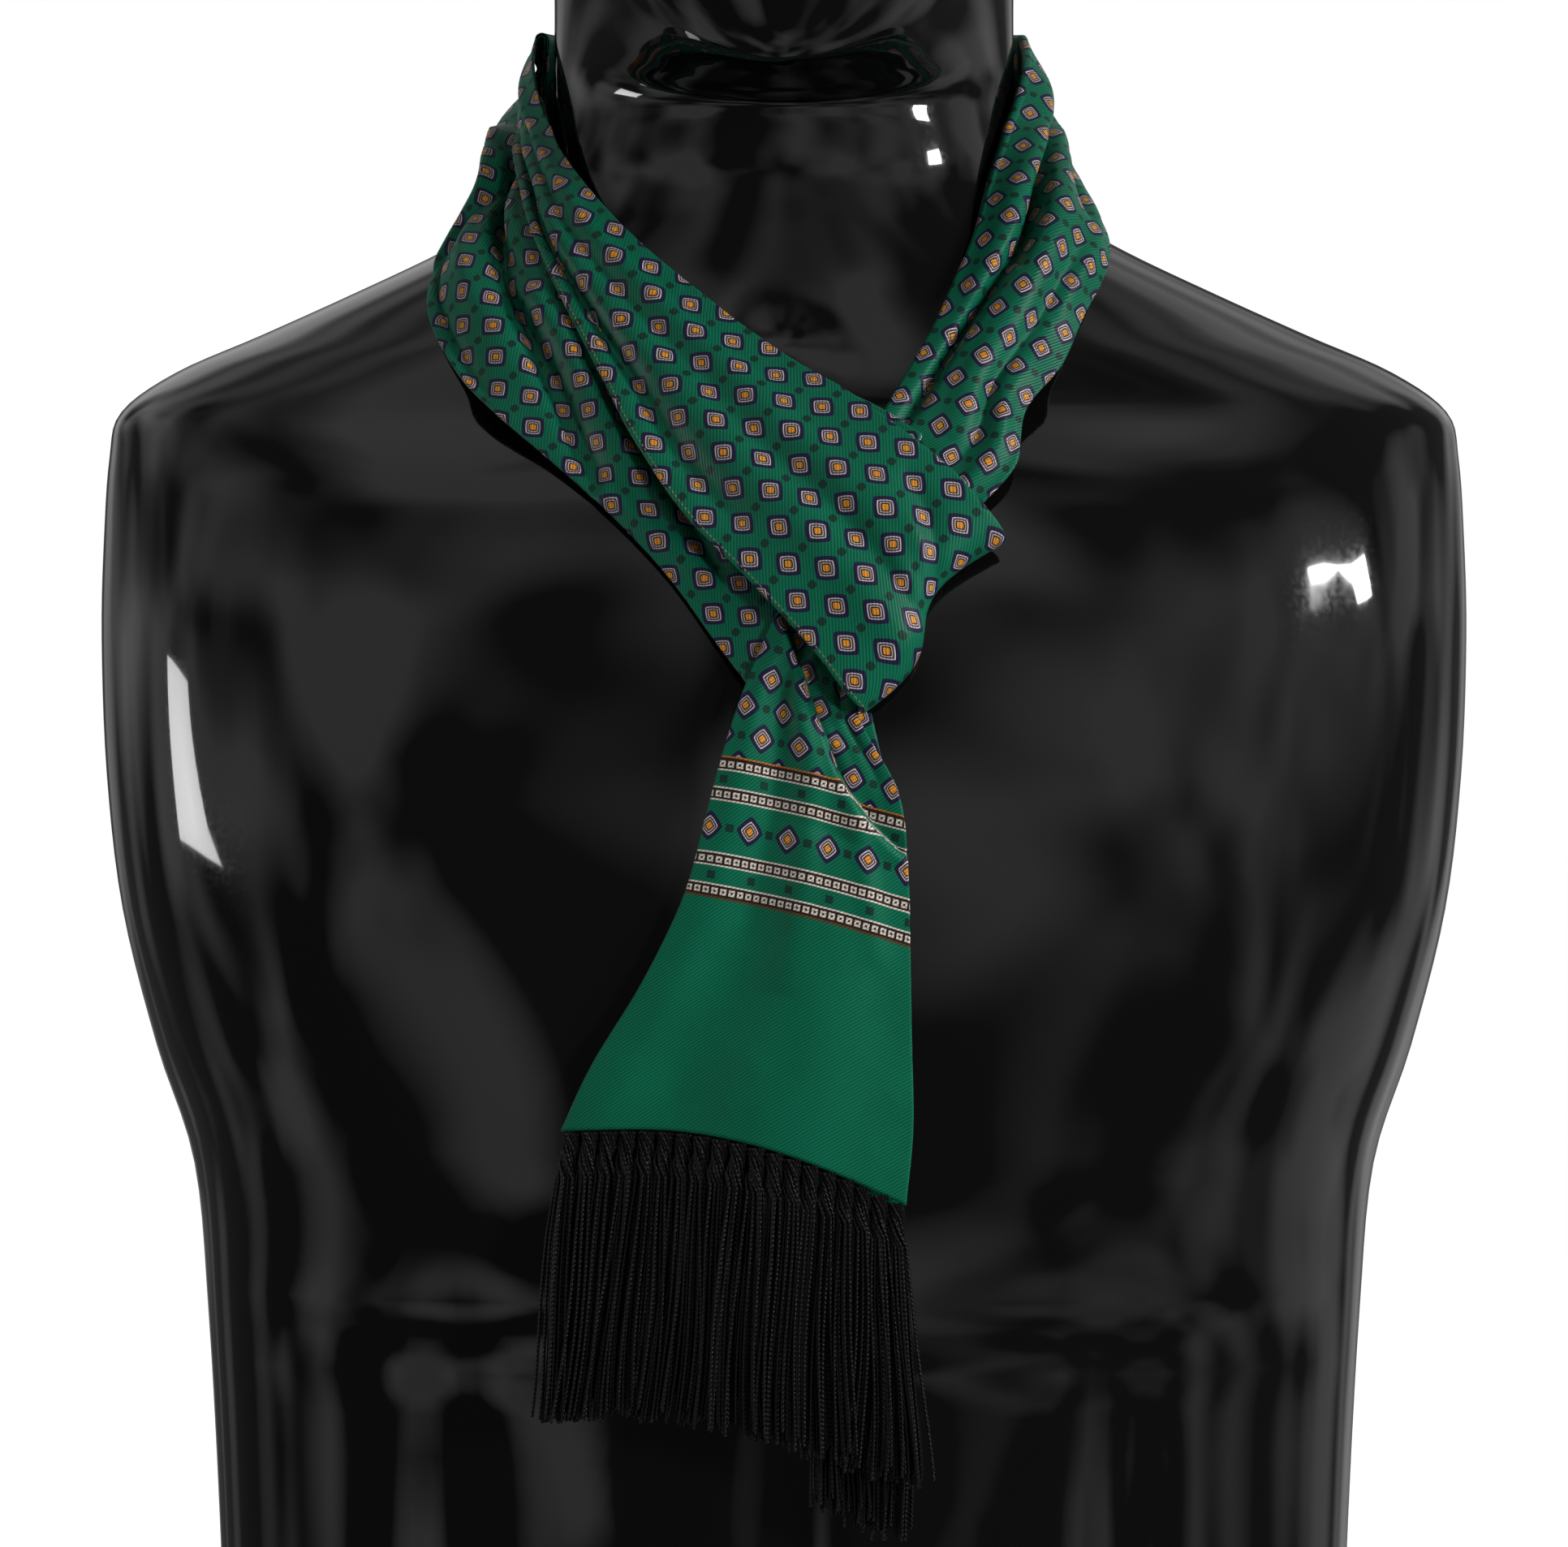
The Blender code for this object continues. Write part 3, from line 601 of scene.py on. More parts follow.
    cloudy = addNode(tree, "ShaderNodeTexNoise", {0: uvMap, 2: weave["cloudScale"], 3: 3.0})
    colour = addNode(tree, "ShaderNodeMix",
                     {0: cloudy, 6: linear(chart["greenShade"]), 7: linear(chart["green"])},
                     data_type="RGBA").outputs[2]
    stripes = []
    for low, high, below, above in chart["bands"]:
        stripes += [(low - chart["bandLine"], chart[below]), (low, chart["bandGround"]),
                    (high, chart[above]), (high + chart["bandLine"], None)]
    borderPaint = addNode(tree, "ShaderNodeValToRGB", {0: value["borderPlace"]})
    fillRamp(borderPaint, [(place / (chart["borderHigh"] + 1), paint) for place, paint in stripes])
    motifPaint = addNode(tree, "ShaderNodeValToRGB", {0: value["motifSize"]})
    fillRamp(motifPaint, [(place, chart[name]) for place, name in chart["motifStops"]])
    bandShown = addNode(tree, "ShaderNodeMath",
                        {0: borderPaint.outputs[1], 1: value["inBorder"]}, operation="MULTIPLY")
    layers = [(bandShown, borderPaint), (value["squareShown"], linear(chart["bandWhite"])),
              (value["dotShown"], linear(chart["dot"])), (value["motifShown"], motifPaint),
              (value["stitchShown"], linear(weave["stitch"]))]
    for mask, paint in layers:
        colour = addNode(tree, "ShaderNodeMix", {0: mask, 6: colour, 7: paint},
                         data_type="RGBA").outputs[2]
    # painted shade and highlight: the colour is darkened in the rib valleys and lightened past its
    # own value on the rib tops
    paintedRibShading = addNode(tree, "ShaderNodeMapRange",
                       {0: value["rib"], 3: weave["paintedRibShading"][0], 4: weave["paintedRibShading"][1]})
    shaded = addNode(tree, "ShaderNodeVectorMath", {0: colour, 3: paintedRibShading}, operation="SCALE")
    slub = addNode(tree, "ShaderNodeTexNoise", {0: uvMap, 2: weave["slub"][0], 3: 2.0})
    height = addNode(tree, "ShaderNodeMath", {0: slub, 1: weave["slub"][1], 2: value["rib"]},
                     operation="MULTIPLY_ADD")
    relief = addNode(tree, "ShaderNodeBump", {"Strength": weave["reliefStrength"],
                                              "Distance": weave["ribHigh"] * mm,
                                              "Height": height})
    roughness = addNode(tree, "ShaderNodeMapRange",
                        {0: cloudy, 3: weave["roughness"][0], 4: weave["roughness"][1]})
    feed(tree, shader, {
        "Base Color": shaded, "Normal": relief, "Roughness": roughness,
        "Specular IOR Level": weave["specular"], "Sheen Weight": weave["sheen"][0],
        "Sheen Roughness": weave["sheen"][1], "Sheen Tint": linear(weave["sheen"][2])})
    return material


# twisted silk thread: two black plies, with small slanting glints painted along their twist as a
# lighter colour
blackThread = {
    "colour": "#030303",
    # the glint is a painted highlight, not a dye
    "glint": "#111112",
    "plyPitch": 1.3,        # mm
    "plyHigh": 0.25,
    "reliefStrength": 0.8,
    "roughness": 0.4,
    "specular": 0.3,
}


def makeBlackThread():
    material, tree, shader = startMaterial("twistedSilkThread")
    value = {name: addNode(tree, "ShaderNodeAttribute", {}, attribute_name=name).outputs[2]
             for name in ("threadLength", "threadTurn")}
    steps = [
        ("pitches", "DIVIDE", "threadLength", blackThread["plyPitch"] * mm),
        ("plies", "SUBTRACT", "pitches", "threadTurn"),
        ("place", "MULTIPLY", "plies", 2 * math.pi),
        ("wave", "SINE", "place"),
        ("ply", "MULTIPLY_ADD", "wave", 0.5, 0.5),
    ]
    for result, operation, *terms in steps:
        inputs = {i: value.get(term, term) for i, term in enumerate(terms)}
        value[result] = addNode(tree, "ShaderNodeMath", inputs, operation=operation)
    # painted highlight: the glint colour is mixed in along the crest of each ply
    colour = addNode(tree, "ShaderNodeMix",
                     {0: value["ply"], 6: linear(blackThread["colour"]),
                      7: linear(blackThread["glint"])}, data_type="RGBA").outputs[2]
    relief = addNode(tree, "ShaderNodeBump", {"Strength": blackThread["reliefStrength"],
                                              "Distance": blackThread["plyHigh"] * mm,
                                              "Height": value["ply"]})
    feed(tree, shader, {"Base Color": colour, "Normal": relief,
                        "Roughness": blackThread["roughness"],
                        "Specular IOR Level": blackThread["specular"]})
    return material


# black lacquer, sprayed on moulded glass fibre and polished: a deep black with faintly wavy
# reflections
lacquerCoat = {
    "tones": ("#060606", "#0D0D0C"),
    "toneScale": 9.0,
    "waves": (60.0, 0.12),      # orange peel left by the spray: noise scale, mm high
    "waveStrength": 0.25,
    "dustScale": 700.0,
    "dustFrom": (0.35, 0.8),
    "haze": (0.05, 0.16),       # roughness of the base under the clear coat, polished to dusty
    "specular": 0.1,
    "coatRoughness": 0.04,
}


def makeBlackLacquer():
    material, tree, shader = startMaterial("polishedBlackLacquer")
    coat = lacquerCoat
    place = addNode(tree, "ShaderNodeTexCoord", {}).outputs[3]
    scales = (coat["waves"][0], 2.0), (coat["dustScale"], 3.0), (coat["toneScale"], 3.0)
    peel, dust, cloud = [addNode(tree, "ShaderNodeTexNoise", {0: place, 2: scale, 3: detail})
                         for scale, detail in scales]
    wavy = addNode(tree, "ShaderNodeBump", {"Strength": coat["waveStrength"],
                                            "Distance": coat["waves"][1] * mm, "Height": peel})
    haze = addNode(tree, "ShaderNodeMapRange",
                   {0: dust, 1: coat["dustFrom"][0], 2: coat["dustFrom"][1],
                    3: coat["haze"][0], 4: coat["haze"][1]})
    tone = addNode(tree, "ShaderNodeMix",
                   {0: cloud, 6: linear(coat["tones"][0]), 7: linear(coat["tones"][1])},
                   data_type="RGBA").outputs[2]
    feed(tree, shader, {
        "Base Color": tone, "Roughness": haze, "Normal": wavy,
        "Specular IOR Level": coat["specular"], "Coat Weight": 1.0,
        "Coat Roughness": coat["coatRoughness"]})
    return material


silkTwill = makeSilkTwill()
silkThread = makeBlackThread()
blackLacquer = makeBlackLacquer()
print("materials ready")

form = makeTorsoForm(blackLacquer)
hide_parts("torso_form")
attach(form, "root")
print("torso form ready")


# the stretches follow one another, so the print runs on from each to the next
# a section of a band, in mm and in degrees round the neck:
# nearTurn, nearZ, nearLift, farTurn, farZ, farLift, bow, belly
# a crease, in sections, shares of the width and mm: first, last, acrossFirst, acrossLast,
# width, height
rightStretch = {
    "inner": [
        (100, 501, 1.8, 98, 450, 2.4, 0.6, 0), (86, 490, 1.8, 81, 446, 2.4, 0.8, 0),
        (72, 473, 2.0, 69, 432, 2.4, 1.0, 0), (53, 447, 2.0, 56, 414, 2.4, 0.8, 0),
        (41, 426, 2.2, 47, 398, 2.6, 0.6, 0), (31, 405, 2.4, 38, 383, 2.8, 0.4, 0),
        (21, 385, 2.6, 32, 368, 3.2, 0.2, 0), (16, 375, 3.0, 27, 357, 3.6, 0.1, 0)],
    "outer": [
        (100, 501, 3.4, 98, 452, 8.0, 5.0, 0), (86, 490, 3.4, 81, 444, 8.0, 8.0, 0),
        (72, 473, 4.0, 68, 429, 6.6, 9.5, 0), (53, 447, 4.6, 56, 411, 6.6, 8.0, 0),
        (41, 426, 4.8, 47.5, 394, 6.6, 6.0, 0), (31, 405, 4.8, 39, 379.5, 6.6, 3.6, 0),
        (21, 385, 5.0, 35.2, 365, 6.8, 2.0, 0), (16, 375, 5.2, 29.5, 354, 6.8, 0.3, 0)],
    "creases": [
        (-1.2, 3.6, 0.32, 0.40, 0.06, -8.5), (2.2, 6.6, 0.42, 0.14, 0.06, -6.0),
        (0.2, 4.4, 0.15, 0.18, 0.11, 2.6), (-0.8, 2.2, 0.66, 0.78, 0.05, -5.0),
        (1.4, 6.2, 0.60, 0.52, 0.11, 2.0), (0.6, 3.6, 0.92, 0.86, 0.06, 1.8),
        (2.6, 6.8, 0.76, 0.66, 0.06, -2.4), (4.4, 7.4, 0.86, 0.84, 0.07, 2.2)],
    "sectionsPerRow": 18,
    "cut": (0.175, 0.172),
}

# a section of a hanging end, in mm: leftX, leftZ, leftLift, rightX, rightZ, rightLift, arch
frontTail = {
    "rows": [
        (20, 373, 6.0, 50, 352, 5.8, 0), (8, 345, 8.0, 43, 334, 5.8, 0),
        (-3, 322, 8.8, 29, 319, 6.4, 0), (-10.6, 304, 8.4, 20, 299, 6.8, 1),
        (-16.6, 286, 7.0, 31.5, 275, 6.8, 3), (-21.4, 268, 6.0, 34.2, 253, 6.8, 4),
        (-27.5, 246, 6.0, 34.8, 231, 6.8, 5), (-39, 222, 6.4, 35.2, 206, 7.0, 5),
        (-53, 199, 6.8, 35.6, 181, 7.2, 6.5), (-62, 180, 7.0, 33.6, 159.5, 7.4, 8)],
    "creases": [
        (1.5, 6.0, 0.14, 0.10, 0.08, 1.3), (1.2, 6.6, 0.34, 0.30, 0.07, -1.4),
        (1.4, 7.0, 0.48, 0.52, 0.07, 1.5), (0.6, 4.4, 0.80, 0.90, 0.05, -1.2),
        (2.6, 6.4, 0.62, 0.86, 0.06, 1.2), (5.0, 11.0, 0.66, 0.60, 0.25, 4.4),
        (5.4, 11.2, 0.14, 0.04, 0.10, 1.4), (6.0, 11.0, 0.34, 0.30, 0.12, -1.0)],
    "start": 0.25,
    "sectionsPerRow": 18,
    "columns": 148,
    # the pleat: the line where it folds under, as height and x, and how it lies beside that
    "pleatLine": [(254.0, 37.0), (255.6, 34.4), (258.6, 30.5), (266.3, 23.0), (275.4, 16.8),
                  (281.4, 13.9), (290.5, 10.7), (296.6, 8.0), (315.0, 2.0), (345.0, -6.0)],
    "pleatFades": (252.0, 257.0),
    "pleatSlant": 0.84,     # cosine of that line's mean slope
    "pleatStep": (-1.0, 1.4),   # mm to either side over which the cloth steps down
    "pleatFlattens": (8.0, 5.0),    # mm off the line, on the high and on the low side
    "pleatLapFades": 3.0,
    "pleatTurns": (0.1, 1.1),   # mm past the line over which the hidden cloth is skipped
    "pleatHides": (6.7, 4.3),   # mm of cloth, across and along
    "pleatHigh": 1.0,
    "pleatDeep": 2.0,
    "pleatLaps": 0.2,
    "printSlant": 0.055,    # the border sags toward the right
    "printBend": 2.6,
    "cut": (0.123, 0.213),
}


def pleated(piece, grid, u, v):
    # the left side stands over the right, and cloth is hidden between them
    heights, places = np.asarray(piece["pleatLine"]).T
    beside = (grid[..., 0] - np.interp(grid[..., 2], heights, places)) * piece["pleatSlant"]
    above = smoothStep(grid[..., 2], *piece["pleatFades"])
    stepDown = smoothStep(beside, *piece["pleatStep"])
    highFlat, lowFlat = piece["pleatFlattens"]
    high = (1 - stepDown) * np.exp(-(beside / highFlat) ** 2)
    low = stepDown * np.exp(-(beside / lowFlat) ** 2)
    lap = (high - low) * np.exp(-(beside / piece["pleatLapFades"]) ** 2)
    grid = grid.copy()
    grid[..., 0] += above * piece["pleatLaps"] * lap
    grid[..., 1] -= above * (piece["pleatHigh"] * high - piece["pleatDeep"] * low)
    passed = smoothStep(beside, *piece["pleatTurns"]) * above
    return grid, u + passed * piece["pleatHides"][0], v + passed * piece["pleatHides"][1]


# the front tail is gathered where the right stretch ends, and is laid out from its hem
lastSection = np.array([len(rightStretch["outer"]) - 1.0])
gather = bandGrid(rightStretch["outer"], [], lastSection, frontTail["columns"])
tail = np.concatenate([gather, tailGrid(frontTail)], axis=0)[::-1]
tail, tailU, tailV = pleated(frontTail, tail, *clothMap(tail, 0, byHem=True))
tailV += frontTail["printSlant"] * tailU
tailV -= frontTail["printBend"] * np.sin(np.pi * np.clip(tailU / tailU.max(), 0, 1))
layCloth("frontTail", "front_tail", frontTail, "hung", tail, tailU, tailV, hemmed=True)

neckStretch = {
    "inner": [
        (100, 501, 1.8, 98, 450, 2.4, 0.6, 0), (125, 504, 2.2, 123, 449, 2.4, 1.0, 0),
        (152, 506, 2.2, 151, 444, 2.4, 1.0, 0), (180, 508, 2.2, 180, 442, 2.4, 1.0, 0),
        (208, 507, 2.2, 209, 444, 2.4, 1.0, 0), (235, 503, 2.2, 237, 449, 2.4, 1.0, 0),
        (260, 501, 2.2, 262, 452, 2.4, 1.0, 0)],
    "outer": [
        (100, 501, 3.4, 98, 452, 8.0, 5.0, 0), (125, 504, 4.6, 123, 450, 7.0, 8.0, 0),
        (152, 506, 5.2, 151, 449, 6.5, 7.0, 0), (180, 508, 5.2, 180, 447, 6.5, 6.5, 0),
        (208, 507, 5.2, 209, 450, 7.0, 7.0, 0), (235, 503, 5.2, 238, 458, 8.0, 6.0, 0),
        (260, 501, 5.2, 262, 470, 11.0, -1.0, 0)],
    "creases": [
        (-1.2, 2.2, 0.30, 0.36, 0.06, -7.0), (-0.9, 2.4, 0.70, 0.62, 0.06, -4.0),
        (0.8, 4.8, 0.40, 0.46, 0.09, -3.2), (2.6, 6.4, 0.66, 0.60, 0.08, -3.4),
        (-0.6, 3.0, 0.86, 0.80, 0.07, 2.0), (3.4, 6.6, 0.26, 0.30, 0.07, -2.2)],
    "sectionsPerRow": 18,
    "cut": (0.235, 0.22),
}

right, neck = foldedGrid(rightStretch)[::-1], foldedGrid(neckStretch)
foldColumn = twill["innerColumns"] + twill["foldSteps"] // 2
wholeU, wholeV = clothMap(np.concatenate([right, neck[1:]]), foldColumn)
wholeV += tailV[-1].mean()
met = len(right)    # the two stretches share one row
layCloth("rightStretch", "right_stretch", rightStretch, "draped",
         right, wholeU[:met], wholeV[:met])
layCloth("neckStretch", "neck_stretch", neckStretch, "draped",
         neck, wholeU[met - 1:], wholeV[met - 1:])
neckRun = wholeV[-1, foldColumn]

leftOverStretch = {
    "rows": [
        (-100, 501, 5.2, -98, 481, 9.4, 0.0, 0), (-87, 489, 5.2, -80, 461, 10.4, 1.5, 0),
        (-68, 466, 5.2, -58, 436, 9.5, 2.4, 0), (-45, 442.5, 5.8, -46.5, 417, 9.4, 3.0, 0),
        (-25, 421.5, 6.8, -35.5, 394, 9.6, 3.4, 0), (-8, 403.5, 9.2, -24.5, 370, 10.2, 3.2, 0),
        (6, 387, 12.8, -15, 349, 11.2, 2.0, 0), (17, 373.5, 15.2, -5, 331, 12.8, 1.8, 0),
        (24.5, 361.5, 15.2, 3.4, 314, 14.4, 1.6, -0.6),
        (28.6, 351, 14.8, 8.4, 301, 14.6, 1.0, -1.3),
        (30.6, 345, 12.4, 10.3, 297, 12.2, 0.6, -1.6),
        (31.2, 343, 8.2, 10.9, 296, 8.2, 0.0, -1.6),
        (30.2, 344, 4.0, 10.2, 298, 4.2, 0.0, -1.5),
        (27.0, 347, 1.9, 7.6, 301, 2.0, 0.0, -1.3), (22.0, 351, 1.8, 4.0, 306, 1.8, 0.0, -1.0)],
    "creases": [
        (0.0, 6.6, 0.80, 0.84, 0.075, -4.4), (2.0, 9.0, 0.25, 0.42, 0.09, 1.6),
        (4.0, 10.0, 0.62, 0.72, 0.10, 1.6), (7.6, 10.6, 0.13, 0.30, 0.05, -1.8),
        (7.2, 10.2, 0.30, 0.22, 0.07, 1.4), (1.0, 5.5, 0.46, 0.52, 0.09, -1.6),
        (5.0, 10.4, 0.50, 0.50, 0.07, -1.4), (-0.6, 3.0, 0.35, 0.22, 0.10, 1.4)],
    "sectionsPerRow": 12,
    "columns": 64,
    "printScale": 1.07,
    "cut": (0.1, 0.287),
}

over = bandGrid(leftOverStretch["rows"], leftOverStretch["creases"],
                positions(leftOverStretch), leftOverStretch["columns"])
overU, overV = clothMap(over, 0, printScale=leftOverStretch["printScale"])
layCloth("leftOverStretch", "left_over_stretch", leftOverStretch, "draped",
         over, overU, overV + neckRun, sewn=True)

leftUnderStretch = {
    "rows": [
        (-108, 488, 2.0, -106, 452, 5.0, 3.0, 0), (-87, 479, 2.0, -79, 440, 4.6, 3.0, 0),
        (-68, 461, 2.4, -62, 409, 4.4, 5.6, 0), (-45, 440.5, 2.9, -50, 388, 4.0, 3.8, 0),
        (-25, 419.5, 3.8, -37.5, 370, 3.4, 2.6, 0), (-8, 401.5, 5.4, -26.5, 353, 3.0, 1.6, 0),
        (6, 388.5, 7.6, -17, 335, 3.2, 1.0, 0), (17, 378.5, 9.6, -9.5, 316, 4.2, 1.0, 0),
        (23, 370.5, 11.2, -5, 304, 6.8, 0.6, 0)],
    "creases": [
        (-0.1, 1.54, -0.02, 0.80, 0.25, 11.8), (0.95, 2.9, 0.45, 0.50, 0.05, -6.4),
        (1.8, 4.8, 0.46, 0.97, 0.05, -6.6), (1.4, 5.2, 0.30, 0.88, 0.06, 2.4),
        (0.8, 3.4, 0.62, 0.84, 0.08, 2.2), (3.6, 6.6, 0.60, 0.86, 0.04, -3.2),
        (1.6, 3.2, 0.90, 0.97, 0.035, -2.4), (4.4, 6.8, 0.97, 0.90, 0.04, 2.0),
        (5.4, 7.6, 0.56, 0.72, 0.05, -2.2)],
    "sectionsPerRow": 16,
    "columns": 96,
    "cut": (0.14, 0.244),
}

under = bandGrid(leftUnderStretch["rows"], leftUnderStretch["creases"],
                 positions(leftUnderStretch), leftUnderStretch["columns"])
underU, underV = clothMap(under, 0)
layCloth("leftUnderStretch", "left_under_stretch", leftUnderStretch, "draped",
         under, underU, underV + neckRun)

backTail = {
    "rows": [
        (3, 300, 1.7, 24, 297, 1.7, 0), (5, 272, 1.8, 30, 268, 1.8, 0),
        (7, 240, 1.9, 32.5, 234, 1.9, 0), (8.5, 205, 2.0, 33, 196, 2.0, 0),
        (9, 163, 2.1, 33, 152, 2.1, 0)],
    "creases": [],
    "sectionsPerRow": 16,
    "columns": 30,
    "cut": (0.054, 0.142),
}

back = tailGrid(backTail)[::-1]
layCloth("backTail", "back_tail", backTail, "hung",
         back, *clothMap(back, 0, byHem=True), hemmed=True)
print("cloth ready")


# fringe: bundles hooked through the hem, each a twisted root and many fine threads
frontFringe = {"bundles": 19, "threads": 25, "length": 79.0, "shorter": 0.02, "leanLeft": -9.0,
               "leanRight": 1.0, "seed": 7}
backFringe = {"bundles": 6, "threads": 25, "length": 85.0, "shorter": 0.0, "leanLeft": 0.5,
              "leanRight": 0.0, "seed": 11}
bundleShape = {
    "hookedBelow": 0.6,         # mm, where a bundle starts under the hem's middle
    "rootLong": 9.5,
    "rootShare": 0.7,           # of the bundle's full width
    "rootSway": 0.55,           # over its neighbour and back
    "threadWide": 0.95,
    "fullWide": 3.5,
    "fullDeep": 2.3,
    "stray": 4.5,
    "strayDeep": 1.2,
    "drift": 2.0,
    "wave": 1.5,
    "waveTurn": 4.2,            # radians from root to tip
    "lengthDrift": 0.03,
    "loosens": (0.75, 0.45),    # from this share of the root, and by this much a root's length
    "twist": (2.3, 2.7),        # radians by the root's end, and at most
    "goldenAngle": 2.39996,     # spreads the threads evenly over a bundle
    "sideTurn": 3.7,            # makes each bundle drift its own way
    "seedStep": 17.0,           # from one chance to the next
    "steps": 20,
    "sides": 5,
}
# each input of the threads' tree, its kind, and the value that it takes
threadInputs = [
    ("Threads", "Int", "threads", 1), ("Length", "Float", "length", mm),
    ("Thread Width", "Float", "threadWide", mm), ("Half Width", "Float", "fullWide", mm),
    ("Half Depth", "Float", "fullDeep", mm), ("Root Length", "Float", "rootLong", mm),
    ("Root Share", "Float", "rootShare", 1), ("Stray", "Float", "stray", mm),
    ("Lean Left", "Float", "leanLeft", mm), ("Lean Right", "Float", "leanRight", mm),
    ("Shorter", "Float", "shorter", 1), ("Steps", "Int", "steps", 1),
    ("Sides", "Int", "sides", 1), ("Seed", "Int", "seed", 1)]


